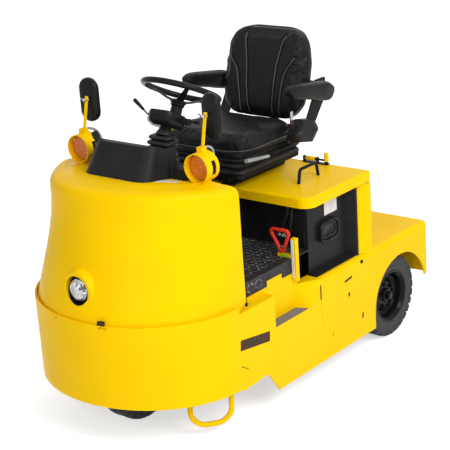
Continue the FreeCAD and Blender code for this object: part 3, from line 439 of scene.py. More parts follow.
def prism(points, low, high, place, bevel=0.0, steps=2):
    """A flat outline raised from low to high along place's z axis, its two rims rounded."""
    shape = skin([[place @ Vector((u, v, h)) for u, v in points] for h in (low, high)])
    if bevel:
        axis = (place.to_3x3() @ Z).normalized()
        rims = [edge for edge in shape.edges
                if abs((edge.verts[1].co - edge.verts[0].co).normalized().dot(axis)) < 0.01]
        soften(shape, rims, bevel, steps)
    return shape


def brick(low, high, bevel=0.001, steps=2):
    """A box between two corners with all its edges rounded."""
    shape = bmesh.new()
    bmesh.ops.create_cube(shape, size=1.0)
    low, high = Vector(low), Vector(high)
    for vert in shape.verts:
        vert.co = [low[i] + (vert.co[i] + 0.5) * (high[i] - low[i]) for i in range(3)]
    soften(shape, shape.edges[:], bevel, steps)
    return shape


def along(points, radius, steps=12, flat=1.0):
    """A round bar or a flat strip swept along points; its ends are closed."""
    path = [Vector(p) for p in points]
    rings = []
    side = None
    for i, point in enumerate(path):
        ahead = path[min(i + 1, len(path) - 1)] - path[max(i - 1, 0)]
        ahead.normalize()
        if side is None:
            side = ahead.cross(Z if abs(ahead.z) < 0.9 else X).normalized()
        side = (side - ahead * side.dot(ahead)).normalized()
        up = side.cross(ahead)
        size = radius[i] if isinstance(radius, (list, tuple)) else radius
        rings.append([point + side * math.cos(a) * size + up * math.sin(a) * size * flat
                      for a in full_turn(steps)])
    return skin(rings)


def both_sides(shape):
    """A piece with its like on the other side of the vehicle."""
    other = shape.copy()
    for vert in other.verts:
        vert.co.x = -vert.co.x
    bmesh.ops.reverse_faces(other, faces=other.faces[:])
    return [other, shape]


def gather(shapes):
    """Several surfaces in one."""
    whole = bmesh.new()
    for shape in shapes:
        mesh = bpy.data.meshes.new("piece")
        shape.to_mesh(mesh)
        shape.free()
        whole.from_mesh(mesh)
    return whole


def finished(name, shape, body, finish, nodes=(), sharp=38):
    """Make a surface a piece of the object: its finish, its body, and the solids that it stands for."""
    mesh = bpy.data.meshes.new(name)
    if isinstance(shape, (list, tuple)):
        shape = gather(shape)
    shape.to_mesh(mesh)
    shape.free()
    mesh.materials.append(finishes[finish])
    for face in mesh.polygons:
        face.material_index = 0
        face.use_smooth = True
    mesh.set_sharp_from_angle(angle=math.radians(sharp))
    item = bpy.data.objects.new(name, mesh)
    bpy.context.scene.collection.objects.link(item)
    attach(item, body)
    if nodes:
        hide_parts(*nodes)
    return item


def evaluated(item):
    """The mesh that an object's modifiers make, as a plain mesh."""
    graph = bpy.context.evaluated_depsgraph_get()
    return bpy.data.meshes.new_from_object(item.evaluated_get(graph), depsgraph=graph)


def applied(item):
    """Give an object the mesh that its modifiers make, and take the modifiers off."""
    mesh = evaluated(item)
    item.modifiers.clear()
    item.data = mesh
    return mesh


# ---------------------------------------------------------------- geometry node trees

def start_tree(name, sockets):
    """Start a node tree with named inputs; returns it with its inputs and its output."""
    tree = bpy.data.node_groups.new(name, "GeometryNodeTree")
    tree.interface.new_socket("Geometry", in_out="OUTPUT", socket_type="NodeSocketGeometry")
    tree.interface.new_socket("Geometry", in_out="INPUT", socket_type="NodeSocketGeometry")
    for label, kind in sockets:
        tree.interface.new_socket(label, in_out="INPUT", socket_type=f"NodeSocket{kind}")
    return tree, add(tree, "NodeGroupInput").outputs, add(tree, "NodeGroupOutput").inputs["Geometry"]


def laid_out(tree, carrier, piece, finish, **values):
    """Run a node tree with a small piece, over the points of a carrier if the tree takes them, and
    return the result as a surface."""
    host = bpy.data.objects.new("carrier", carrier or bpy.data.meshes.new("empty"))
    small = bpy.data.meshes.new("small")
    piece.to_mesh(small)
    sample = bpy.data.objects.new("sample", small)
    for item in (host, sample):
        bpy.context.scene.collection.objects.link(item)
    modifier = host.modifiers.new("pieces", "NODES")
    modifier.node_group = tree
    values.update(Piece=sample, Finish=finishes[finish])
    for socket in tree.interface.items_tree:
        if socket.in_out == "INPUT" and socket.name in values:
            modifier[socket.identifier] = values[socket.name]
    shape = bmesh.new()
    shape.from_mesh(evaluated(host))
    for item in (host, sample):
        bpy.data.objects.remove(item)
    if not shape.faces:
        raise RuntimeError(f"{tree.name} made nothing")
    return shape


def copied(tree, given, points, rotation):
    """Copies of the given piece on points, turned by a socket."""
    source = add(tree, "GeometryNodeObjectInfo", {"Object": given["Piece"]})
    return add(tree, "GeometryNodeInstanceOnPoints", {
        "Points": points, "Instance": source.outputs["Geometry"], "Rotation": rotation}).outputs[0]


def settled(tree, given, copies, result):
    """End a tree: make its copies real and give them their finish."""
    solid = add(tree, "GeometryNodeRealizeInstances", {"Geometry": copies})
    add(tree, "GeometryNodeSetMaterial", {"Geometry": solid.outputs[0], "Material": given["Finish"]},
        {"Geometry": result})
    return tree


def ring_tree():
    """Copies of a piece round a circle: lugs of a tyre, nuts of a hub."""
    tree, given, result = start_tree("pieces_round_a_circle", [
        ("Piece", "Object"), ("Finish", "Material"), ("Count", "Int"), ("Radius", "Float"),
        ("Start", "Float")])
    circle = add(tree, "GeometryNodeMeshCircle", {"Vertices": given["Count"], "Radius": given["Radius"]})
    index = add(tree, "GeometryNodeInputIndex")
    share = add(tree, "ShaderNodeMath", {0: index.outputs[0], 1: given["Count"]}, operation="DIVIDE")
    angle = add(tree, "ShaderNodeMath", {0: share.outputs[0], 1: math.tau, 2: 0.0}, operation="MULTIPLY_ADD")
    turn = add(tree, "ShaderNodeCombineXYZ", {"Z": angle.outputs[0]})
    copies = copied(tree, given, circle.outputs["Mesh"], turn.outputs[0])
    start = add(tree, "ShaderNodeCombineXYZ", {"Z": given["Start"]})
    turned = add(tree, "GeometryNodeTransform", {"Geometry": copies, "Rotation": start.outputs[0]})
    return settled(tree, given, turned.outputs[0], result)


def stud_tree():
    """Copies of a small piece on a carrier's points, each standing along the point's own normal and
    turned by chance: bolts and screws."""
    tree, given, result = start_tree("pieces_on_points", [
        ("Piece", "Object"), ("Finish", "Material"), ("Turn", "Float"), ("Seed", "Int")])
    facing = add(tree, "GeometryNodeInputNamedAttribute", {"Name": "facing"}, data_type="FLOAT_VECTOR")
    stand = add(tree, "FunctionNodeAlignRotationToVector", {"Vector": facing.outputs["Attribute"]}, axis="Z")
    chance = add(tree, "FunctionNodeRandomValue", {"Max": given["Turn"], "Seed": given["Seed"]},
                 data_type="FLOAT")
    spin = add(tree, "ShaderNodeCombineXYZ", {"Z": chance.outputs["Value"]})
    copies = copied(tree, given, given["Geometry"], stand.outputs["Rotation"])
    turned = add(tree, "GeometryNodeRotateInstances", {"Instances": copies, "Rotation": spin.outputs[0]})
    return settled(tree, given, turned.outputs[0], result)


def tread_tree():
    """Marks of a chequer plate on the corners of a grid, leaning left and right in turn."""
    tree, given, result = start_tree("chequer_marks", [
        ("Piece", "Object"), ("Finish", "Material"), ("Lean", "Float"), ("Columns", "Int")])
    index = add(tree, "GeometryNodeInputIndex")
    row = add(tree, "ShaderNodeMath", {0: index.outputs[0], 1: given["Columns"]}, operation="DIVIDE")
    floor = add(tree, "ShaderNodeMath", {0: row.outputs[0]}, operation="FLOOR")
    total = add(tree, "ShaderNodeMath", {0: floor.outputs[0], 1: index.outputs[0]}, operation="ADD")
    odd = add(tree, "ShaderNodeMath", {0: total.outputs[0], 1: 2.0}, operation="MODULO")
    side = add(tree, "ShaderNodeMath", {0: odd.outputs[0], 1: 2.0, 2: -1.0}, operation="MULTIPLY_ADD")
    lean = add(tree, "ShaderNodeMath", {0: side.outputs[0], 1: given["Lean"]}, operation="MULTIPLY")
    turn = add(tree, "ShaderNodeCombineXYZ", {"Z": lean.outputs[0]})
    return settled(tree, given, copied(tree, given, given["Geometry"], turn.outputs[0]), result)


trees = {}


def points_mesh(spots):
    """A carrier of bare points, each with the direction that its piece stands along."""
    mesh = bpy.data.meshes.new("points")
    mesh.from_pydata([at for at, facing in spots], [], [])
    attribute = mesh.attributes.new("facing", "FLOAT_VECTOR", "POINT")
    for i, (at, facing) in enumerate(spots):
        attribute.data[i].vector = facing
    return mesh


def target(mesh):
    """A mesh as a tree that rays can be cast at."""
    return BVHTree.FromPolygons([vert.co for vert in mesh.vertices],
                                [face.vertices[:] for face in mesh.polygons])


def sticker(node, corners, facing, lift=0.0007, cuts=8):
    """A thin film laid on a solid: a grid between four corners, cast along facing onto the solid."""
    solid = target(frame["nodes"][node].data)
    facing = Vector(facing).normalized()
    a, b, c, d = [Vector(corner) for corner in corners]
    layers = [[], []]
    for row in range(cuts + 1):
        for column in range(cuts + 1):
            u, v = column / cuts, row / cuts
            at = (a * (1 - u) + b * u) * (1 - v) + (d * (1 - u) + c * u) * v
            hit = solid.ray_cast(at, facing)[0]
            if hit is None:
                raise RuntimeError(f"a label misses {node} at {tuple(at)}")
            layers[0].append(hit + facing * lift)
            layers[1].append(hit - facing * lift)
    shape = bmesh.new()
    under, over = [[shape.verts.new(point) for point in layer] for layer in layers]
    wide = cuts + 1
    for layer in (under, over):
        for row in range(cuts):
            for column in range(cuts):
                i = row * wide + column
                shape.faces.new((layer[i], layer[i + 1], layer[i + wide + 1], layer[i + wide]))
    rim = list(range(wide)) + [row * wide + cuts for row in range(1, wide)]
    rim += [cuts * wide + column for column in range(cuts - 1, -1, -1)]
    rim += [row * wide for row in range(cuts - 1, 0, -1)]
    for i, j in zip(rim, rim[1:] + rim[:1]):
        shape.faces.new((under[i], under[j], over[j], over[i]))
    bmesh.ops.recalc_face_normals(shape, faces=shape.faces)
    return shape


# ---------------------------------------------------------------- stage

def straight_view(tree):
    """1 where a camera, glossy or transmission ray looks, and 0 for light that only bounces."""
    rays = add(tree, "ShaderNodeLightPath").outputs
    glance = add(tree, "ShaderNodeMath", {0: rays["Is Camera Ray"], 1: rays["Is Glossy Ray"]},
                 operation="MAXIMUM")
    seen = add(tree, "ShaderNodeMath", {0: glance.outputs[0], 1: rays["Is Transmission Ray"]},
               operation="MAXIMUM")
    return seen.outputs[0]


class TRACTOR_OT_stage(bpy.types.Operator):
    """Set the camera, the pale floor, the soft lamps and the world"""
    bl_idname = "tow_tractor.stage"
    bl_label = "Stage"

    def execute(self, context):
        scene = context.scene
        data = bpy.data.cameras.new("view")
        data.lens = 105.85
        data.sensor_width = 36.0
        data.clip_end = 100.0
        camera = bpy.data.objects.new("view", data)
        right = Vector((0.77839, 0.62451, -0.06399))
        up = Vector((-0.15635, 0.29157, 0.94369))
        back = Vector((0.60800, -0.72456, 0.32459))
        turn = Matrix((right, up, back)).transposed()
        at = (3.8043, -4.5608, 2.7274)
        camera.matrix_world = Matrix.Translation(at) @ turn.to_4x4()
        scene.collection.objects.link(camera)
        scene.camera = camera

        floor_mesh = bpy.data.meshes.new("floor")
        reach = 40.0
        floor_lift = 0.58
        corners = [(-reach, -reach, 0), (reach, -reach, 0), (reach, reach, 0), (-reach, reach, 0)]
        floor_mesh.from_pydata(corners, [], [(0, 1, 2, 3)])
        floor = bpy.data.objects.new("floor", floor_mesh)
        scene.collection.objects.link(floor)
        # Matt floor paint: nearly white, with faint cloudy unevenness. Straight views of it are lifted
        # to white, and the shadow stays.
        paint, base = surface("matt_floor_paint", linear("#FBFBFA"), 0.95)
        tree, sockets = base[:2]
        patchy(base, 900, 3, (linear("#FCFCFB"), linear("#F8F8F7")), (0.92, 0.98))
        add(tree, "ShaderNodeMath", {0: straight_view(tree), 1: floor_lift},
            {"Value": sockets["Emission Strength"]}, operation="MULTIPLY")
        sockets["Emission Color"].default_value = (1, 1, 1, 1)
        floor_mesh.materials.append(paint)

        lamps = [
            ("key", (5.2, -1.4, 4.6), 3.0, 250),
            ("front", (2.4, -6.3, 3.6), 3.0, 95),
            ("rear", (0.5, 4.5, 5.5), 4.0, 80),
        ]
        aimed_at = Vector((0, 0, 0.6))
        for name, at, size, power in lamps:
            lamp = bpy.data.lights.new(name, "AREA")
            lamp.size = size
            lamp.energy = power
            item = bpy.data.objects.new(name, lamp)
            aim = (Vector(at) - aimed_at).to_track_quat("Z", "Y").to_matrix().to_4x4()
            item.matrix_world = Matrix.Translation(at) @ aim
            scene.collection.objects.link(item)

        world = bpy.data.worlds.new("soft_room")
        world.use_nodes = True
        tree = world.node_tree
        tree.nodes.clear()
        room_light, backdrop = 0.42, 1.0
        strength = add(tree, "ShaderNodeMapRange", {"Value": straight_view(tree), "To Min": room_light,
                                                    "To Max": backdrop})
        sky = add(tree, "ShaderNodeBackground", {"Color": (1, 1, 1, 1),
                                                 "Strength": strength.outputs["Result"]})
        add(tree, "ShaderNodeOutputWorld", {"Surface": sky.outputs[0]})
        scene.world = world
        scene.view_settings.view_transform = "Standard"
        return {"FINISHED"}


class TRACTOR_OT_paint(bpy.types.Operator):
    """Give every solid of the tractor its finish and make the node trees"""
    bl_idname = "tow_tractor.paint"
    bl_label = "Finishes"

    def execute(self, context):
        make_finishes(context.scene.tractor_colours)
        for finish, nodes in cad_finish.items():
            for node in nodes:
                item = frame["nodes"][node]
                item.data.materials.clear()
                item.data.materials.append(finishes[finish])
        trees.update(ring=ring_tree(), studs=stud_tree(), tread=tread_tree())
        return {"FINISHED"}


# ---------------------------------------------------------------- wheels

WHEELS = (("rear", "_left", "rear_wheel_left", 1), ("rear", "_right", "rear_wheel_right", -1),
          ("front", "", "front_wheel", 1))
WHEEL_STEPS = 84
NUT_CIRCLE = 0.059
NUT_SEAT = 0.0125


def wheel_place(node, sign):
    """The wheel's own frame: its centre, with z along the axle to the outer side."""
    low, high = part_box(node)
    return axis_frame((Vector(low) + Vector(high)) / 2, X * sign, Y)


def tread_lug(side):
    """One shoulder block of the tread, at angle 0: radius along x, tread width along z."""
    profile = [(0.1930, 0.003), (0.2062, 0.005), (0.2072, 0.030), (0.2060, 0.043), (0.2015, 0.0520),
               (0.1930, 0.0556), (0.1800, 0.0560), (0.1780, 0.0480)]
    rings = []
    for y, share in ((-0.0170, 0), (-0.0150, 1), (0.0150, 1), (0.0170, 0)):
        rings.append([Vector((r if share or r < 0.195 else r - 0.0025, y, side * a)) for r, a in profile])
    return skin(rings)


class TRACTOR_OT_tyres(bpy.types.Operator):
    """Solid industrial tyres with a block tread round each shoulder"""
    bl_idname = "tow_tractor.tyres"
    bl_label = "Tyres"

    def execute(self, context):
        count = context.scene.tractor_sizes.lug_count
        # Half of the section, from the bead out to the middle of the tread.
        half = [(0.1205, 0.0405), (0.1240, 0.0455), (0.1300, 0.0500), (0.1345, 0.0535), (0.1400, 0.0522),
                (0.1430, 0.0530), (0.1560, 0.0542), (0.1590, 0.0530), (0.1700, 0.0535), (0.1730, 0.0548),
                (0.1800, 0.0545), (0.1880, 0.0520), (0.1945, 0.0460), (0.1975, 0.0350), (0.1980, 0.0010)]
        section = half + [(r, -a) for r, a in reversed(half)]
        for axle, side, body, sign in WHEELS:
            node = f"{axle}_tyre{side}"
            place = wheel_place(node, sign)
            pieces = [lathe(section, place, WHEEL_STEPS, loop=True)]
            for shoulder, start in ((1, 0.0), (-1, math.pi / count)):
                lugs = laid_out(trees["ring"], None, tread_lug(shoulder), "rubber",
                                Count=count, Radius=0.0, Start=start)
                lugs.transform(place)
                pieces.append(lugs)
            finished(f"{node}_treaded", pieces, body, "rubber", [node], 30)
        return {"FINISHED"}


def hexagon(size):
    """A hexagon's corners, of one radius."""
    return [(size * math.cos(a), size * math.sin(a)) for a in full_turn(6)]


def wheel_nut():
    """A hexagon nut with a washer face and the end of its stud."""
    return gather([
        lathe([(0, 0), (0.0118, 0), (0.0118, 0.002), (0, 0.002)], HERE, 20),
        prism(hexagon(0.0098), 0.001, 0.0115, HERE, 0.0015),
        lathe([(0, 0.009), (0.0052, 0.009), (0.0052, 0.0165), (0.0042, 0.0175), (0, 0.0175)], HERE, 14)])


class TRACTOR_OT_rims(bpy.types.Operator):
    """Pressed disc rims with their hub, cap and nuts"""
    bl_idname = "tow_tractor.rims"
    bl_label = "Rims"

    def execute(self, context):
        outer = [(0.1205, 0.0400), (0.1255, 0.0440), (0.1285, 0.0485), (0.1290, 0.0520), (0.1270, 0.0535),
                 (0.1235, 0.0528), (0.1205, 0.0505), (0.1180, 0.0462), (0.1150, 0.0420), (0.1120, 0.0395),
                 (0.1100, 0.0350), (0.1085, 0.0200), (0.1070, 0.0080), (0.1010, 0.0010), (0.0940, -0.0030),
                 (0.0850, -0.0035), (0.0770, 0.0010), (0.0720, 0.0080), (0.0660, 0.0120), (0.0560, 0.0130),
                 (0.0480, 0.0130), (0.0230, 0.0130)]
        inner = [(0.0230, 0.0080), (0.0500, 0.0080), (0.0640, 0.0070), (0.0700, 0.0020), (0.0770, -0.0060),
                 (0.0860, -0.0100), (0.0970, -0.0090), (0.1060, -0.0060), (0.1085, -0.0200),
                 (0.1120, -0.0395), (0.1180, -0.0462), (0.1235, -0.0528), (0.1270, -0.0535),
                 (0.1290, -0.0520), (0.1285, -0.0485), (0.1205, -0.0400)]
        hub = [(0, 0.0470), (0.0165, 0.0468), (0.0195, 0.0455), (0.0205, 0.0430), (0.0208, 0.0300),
               (0.0300, 0.0290), (0.0335, 0.0270), (0.0350, 0.0240), (0.0355, 0.0150), (0.0440, 0.0140),
               (0.0460, 0.0120), (0.0460, -0.0280), (0.0225, -0.0300), (0, -0.0300)]
        for axle, side, body, sign in WHEELS:
            node = f"{axle}_rim{side}"
            place = wheel_place(node, sign)
            nuts = laid_out(trees["ring"], None, wheel_nut(), "rim",
                            Count=context.scene.tractor_sizes.nut_count, Radius=NUT_CIRCLE, Start=0.5)
            nuts.transform(place @ Matrix.Translation((0, 0, NUT_SEAT)))
            pieces = [lathe(outer + inner, place, WHEEL_STEPS, loop=True), lathe(hub, place, 48), nuts]
            finished(f"{node}_pressed", pieces, body, "rim", [node], 32)
        return {"FINISHED"}


# ---------------------------------------------------------------- seat

def between(table, key):
    """Values of a table of (key, value, ...) rows at a key between its rows."""
    key = min(max(key, table[0][0]), table[-1][0])
    for low, high in zip(table, table[1:]):
        if key <= high[0]:
            share = (key - low[0]) / (high[0] - low[0])
            return [a + (b - a) * share for a, b in zip(low[1:], high[1:])]


def pad_shape(reshape, power=6.0, cuts=17):
    """A closed pad: a cube's grid drawn in to a rounded box, then set in place by reshape."""
    shape = bmesh.new()
    bmesh.ops.create_cube(shape, size=2.0)
    bmesh.ops.subdivide_edges(shape, edges=shape.edges[:], cuts=cuts, use_grid_fill=True)
    for vert in shape.verts:
        reach = sum(abs(c) ** power for c in vert.co) ** (1 / power)
        vert.co = reshape(*(vert.co / reach))
    return shape


def cushion_point(a, b, c):
    """Seat pad: raised side bolsters, a rolled front and a flat underside."""
    half = 0.240 - 0.008 * max(b, 0) ** 2 - 0.024 * max(-b, 0) ** 6
    x = a * half
    y = 0.045 + b * 0.212 - 0.006 * (1 - a * a) * max(-b, 0) ** 3
    bolster = max(0.0, (abs(a) - 0.45) / 0.55) ** 1.5
    top = 1.170 + 0.012 * bolster - 0.012 * max(-b, 0) ** 8 + 0.004 * max(-b, 0) ** 2
    low = 1.084
    return Vector((x, y, (top + low) / 2 + c * (top - low) / 2))


# Heights of the backrest, each with its half width, front and rear.
BACK = [(1.133, 0.196, 0.276, 0.358), (1.200, 0.222, 0.284, 0.394), (1.300, 0.234, 0.296, 0.424),
        (1.400, 0.231, 0.320, 0.450), (1.490, 0.218, 0.346, 0.462), (1.540, 0.204, 0.364, 0.464),
        (1.568, 0.190, 0.382, 0.452)]


def backrest_point(a, b, c):
    """Backrest: widest at the armrests, leaning back, its sides brought forward."""
    low, top = 1.133, 1.568
    z = (low + top) / 2 + c * (top - low) / 2
    half, front, rear = between(BACK, z)
    wing = max(0.0, (abs(a) - 0.5) / 0.5) ** 2
    hollow = 0.016 * (1 - a * a) * max(-b, 0)
    return Vector((a * half, (front + rear) / 2 + b * (rear - front) / 2 - 0.012 * wing + hollow, z))


# A pad's remeshed skin has squares of this size, and is blown up over so many frames.
SKIN_SIZE = 0.009
PUFF_FRAMES = 14


def puffed(item, swell, held):
    """Blow a pad up with the cloth solver from a remeshed skin; points that held picks stay put and
    no point moves further than swell. Ends with one subdivision."""
    remesh = item.modifiers.new("skin", "REMESH")
    remesh.mode = "VOXEL"
    remesh.voxel_size = SKIN_SIZE
    mesh = applied(item)
    start = [vert.co.copy() for vert in mesh.vertices]
    group = item.vertex_groups.new(name="held")
    group.add([v.index for v in mesh.vertices if held(v.co)], 1.0, "REPLACE")
    cloth = item.modifiers.new("cloth", "CLOTH").settings
    cloth.use_pressure = True
    cloth.uniform_pressure_force = 4.0
    cloth.effector_weights.gravity = 0.0
    cloth.vertex_group_mass = "held"
    cloth.tension_stiffness = cloth.compression_stiffness = 30.0
    cloth.bending_stiffness = 2.0
    scene = bpy.context.scene
    for step in range(1, PUFF_FRAMES + 1):
        scene.frame_set(step)
    mesh = applied(item)
    scene.frame_set(1)
    item.vertex_groups.clear()
    for vert, at in zip(mesh.vertices, start):
        move = vert.co - at
        if move.length > swell:
            vert.co = at + move * (swell / move.length)
    soft = item.modifiers.new("soft", "SUBSURF")
    soft.levels = soft.render_levels = 1
    applied(item)


def pressed_in(mesh, paths, depth, width):
    """Draw a pad's skin in along seams, as a sewn channel does."""
    points = [point for path in paths for point in path]
    tree = KDTree(len(points))
    for i, point in enumerate(points):
        tree.insert(point, i)
    tree.balance()
    for vert in mesh.vertices:
        far = tree.find(vert.co)[2]
        if far < 3 * width:
            vert.co -= vert.normal * depth * math.exp(-(far / width) ** 2)


def traced(mesh, rays):
    """Points where rays from outside meet a pad."""
    pad = target(mesh)
    out = []
    for at, facing in rays:
        hit = pad.ray_cast(Vector(at), Vector(facing))[0]
        if hit is None:
            raise RuntimeError(f"a seam misses its pad at {at}")
        out.append(hit)
    return out


def finely(points, step=0.006):
    """The same path with points at an even spacing, on a smooth curve."""
    path = [Vector(p) for p in points]
    out = []
    for i in range(len(path) - 1):
        p0 = path[max(i - 1, 0)]
        p1, p2 = path[i], path[i + 1]
        p3 = path[min(i + 2, len(path) - 1)]
        count = max(2, int((p2 - p1).length / step))
        for k in range(count):
            t = k / count
            out.append(0.5 * (2 * p1 + (p2 - p0) * t + (2 * p0 - 5 * p1 + 4 * p2 - p3) * t * t
                              + (3 * p1 - p0 - 3 * p2 + p3) * t ** 3))
    return out + [path[-1]]


class TRACTOR_OT_seat(bpy.types.Operator):
    """Padded cushion and backrest with their piping"""
    bl_idname = "tow_tractor.seat"
    bl_label = "Seat pads"

    def execute(self, context):
        sizes = context.scene.tractor_sizes
        cushion = finished("seat_cushion_padded", pad_shape(cushion_point), "hood", "vinyl",
                           ["seat_cushion"])
        puffed(cushion, sizes.swell, lambda p: p.z < 1.096)
        back = finished("seat_back_padded", pad_shape(backrest_point), "hood", "vinyl", ["seat_backrest"])
        puffed(back, sizes.swell, lambda p: p.y > between(BACK, p.z)[2] - 0.012)

        inner = [(0.116, 1.530), (0.104, 1.48), (0.088, 1.40), (0.080, 1.30), (0.072, 1.20), (0.070, 1.17)]
        outer = [(0.190, 1.440), (0.178, 1.42), (0.142, 1.368), (0.124, 1.28), (0.114, 1.17)]
        paths = []
        for seam in (inner, outer):
            for side in (-1, 1):
                line = finely([(side * x, z, 0) for x, z in seam])
                paths.append(traced(back.data, [((p.x, -0.5, p.y), Y) for p in line]))
        pressed_in(back.data, paths, 0.0045, 0.010)
        proud = Y * 0.0005
        piping = [along([p - proud for p in path], sizes.piping / 2, 8) for path in paths]
        waist = Vector((0, 0.04, 1.112))
        inward = [Vector((-math.cos(a), -math.sin(a), 0)) for a in full_turn(120)]
        ring = traced(cushion.data, [(waist - way * 0.6, way) for way in inward])
        pressed_in(cushion.data, [ring], 0.004, 0.008)
        welt = along(ring + ring[:1], sizes.piping / 2, 8)
        finished("seat_piping", piping + [welt], "hood", "piping")
        return {"FINISHED"}


def armrest_point(side):
    """Armrest pad: deep at its pivot, thin at its front end, sloping down to the rear."""
    # Distance from the front end, then lower and upper edge.
    length, half = 0.352, 0.0285
    edges = [(0.0, 1.325, 1.352), (0.025, 1.308, 1.362), (0.06, 1.297, 1.364), (0.300, 1.232, 1.328),
             (0.330, 1.240, 1.312), (length, 1.270, 1.296)]

    def reshape(a, b, c):
        run = (b + 1) / 2 * length
        low, high = between(edges, run)
        return Vector((side * (0.306 + a * half), 0.106 + run, (low + high) / 2 + c * (high - low) / 2))
    return reshape


class TRACTOR_OT_armrests(bpy.types.Operator):
    """Padded armrests on their pivots"""
    bl_idname = "tow_tractor.armrests"
    bl_label = "Armrests"

    def execute(self, context):
        sizes = context.scene.tractor_sizes
        for side, name in ((1, "left"), (-1, "right")):
            body = f"armrest_{name}_pad"
            pad = finished(f"armrest_{name}_padded", pad_shape(armrest_point(side), cuts=13), body, "vinyl",
                           [f"armrest_{name}"])
            puffed(pad, sizes.swell * 0.3, lambda p: False)
            place = axis_frame((side * 0.2623, 0.412, 1.284), X * side, Y)
            knuckle = lathe([(0, 0), (0.009, 0), (0.009, 0.012), (0.019, 0.0125), (0.021, 0.015),
                             (0.021, 0.020), (0, 0.020)], place, 32)
            finished(f"armrest_{name}_pivot", knuckle, body, "zinc")
        return {"FINISHED"}


class TRACTOR_OT_suspension(bpy.types.Operator):
    """Seat pan, bellows with their folds, and the slide rails under them"""
    bl_idname = "tow_tractor.suspension"
    bl_label = "Suspension"

    def execute(self, context):
        corners = [0.045, 0.045, 0.02, 0.02]
        folds = []
        # Heights, each with how far the bellows stand out there.
        for z, grow in ((0.990, -0.010), (0.996, 0.002), (1.006, 0.004), (1.014, -0.002), (1.019, -0.012),
                        (1.026, -0.002), (1.036, 0.007), (1.044, 0.002), (1.049, -0.010), (1.056, 0.000),
                        (1.064, 0.008), (1.072, 0.003), (1.076, -0.010), (1.080, -0.010)):
            folds.append(level_ring(0.200 + grow, -0.140 - grow, 0.326 + grow * 0.3, z, corners, 6))
        finished("seat_bellows", skin(folds), "hood", "bellows", ["seat_base"], 60)
        pan = prism(oblong((-0.214, 0.214), (-0.152, 0.332), [0.05, 0.05, 0.02, 0.02]), 1.078, 1.103, HERE,
                    0.006, 3)
        foot = prism(oblong((-0.196, 0.196), (-0.132, 0.325), [0.03, 0.03, 0.01, 0.01]), 0.974, 0.992, HERE,
                     0.003)
        # Rails, then the guides under them: middle, half width, front, rear and top.
        runs = [brick((side * x - half, front, 0.918), (side * x + half, rear, top), 0.003)
                for x, half, front, rear, top in ((0.077, 0.017, -0.10, 0.31, 0.976),
                                                  (0.0775, 0.0275, -0.12, 0.33, 0.932))
                for side in (-1, 1)]
        finished("seat_pan", [pan, foot] + runs, "hood", "powder")
        return {"FINISHED"}


# ---------------------------------------------------------------- steering column

def joint_place(name):
    """A joint's own frame: its origin on the object, with z along its axis."""
    joint = next(row for row in frame["record"]["behaviour"]["joints"] if row["name"] == name)
    return axis_frame(joint["pos_m"], joint["axis"])


class TRACTOR_OT_steering_wheel(bpy.types.Operator):
    """Moulded rim, sloping spokes and the deep hub"""
    bl_idname = "tow_tractor.steering_wheel"
    bl_label = "Steering wheel"

    def execute(self, context):
        place = joint_place("hand_wheel_turn")
        reach, thick = 0.171, 0.0138
        section = [(reach + thick * math.cos(a), thick * math.sin(a)) for a in full_turn(16)]
        hub = [(0, -0.041), (0.017, -0.041), (0.025, -0.043), (0.033, -0.046), (0.037, -0.050),
               (0.0375, -0.055), (0.034, -0.059), (0.0315, -0.061), (0.0312, -0.068), (0.029, -0.0735),
               (0.026, -0.0755), (0, -0.0755)]
        pieces = [lathe(section, place, 96, loop=True), lathe(hub, place, 48)]
        for angle in (80, 200, 320):
            turn = Matrix.Rotation(math.radians(angle), 4, "Z")
            line = finely([(0.022, 0, -0.049), (0.060, 0, -0.040), (0.120, 0, -0.017), (0.170, 0, -0.001)])
            widths = [0.018 - 0.010 * i / len(line) for i in range(len(line))]
            spoke = along(line, widths, 12, 0.34)
            spoke.transform(place @ turn)
            pieces.append(spoke)
        finished("steering_wheel_moulded", pieces, "hand_wheel", "gloss", ["steering_wheel"], 50)
        return {"FINISHED"}


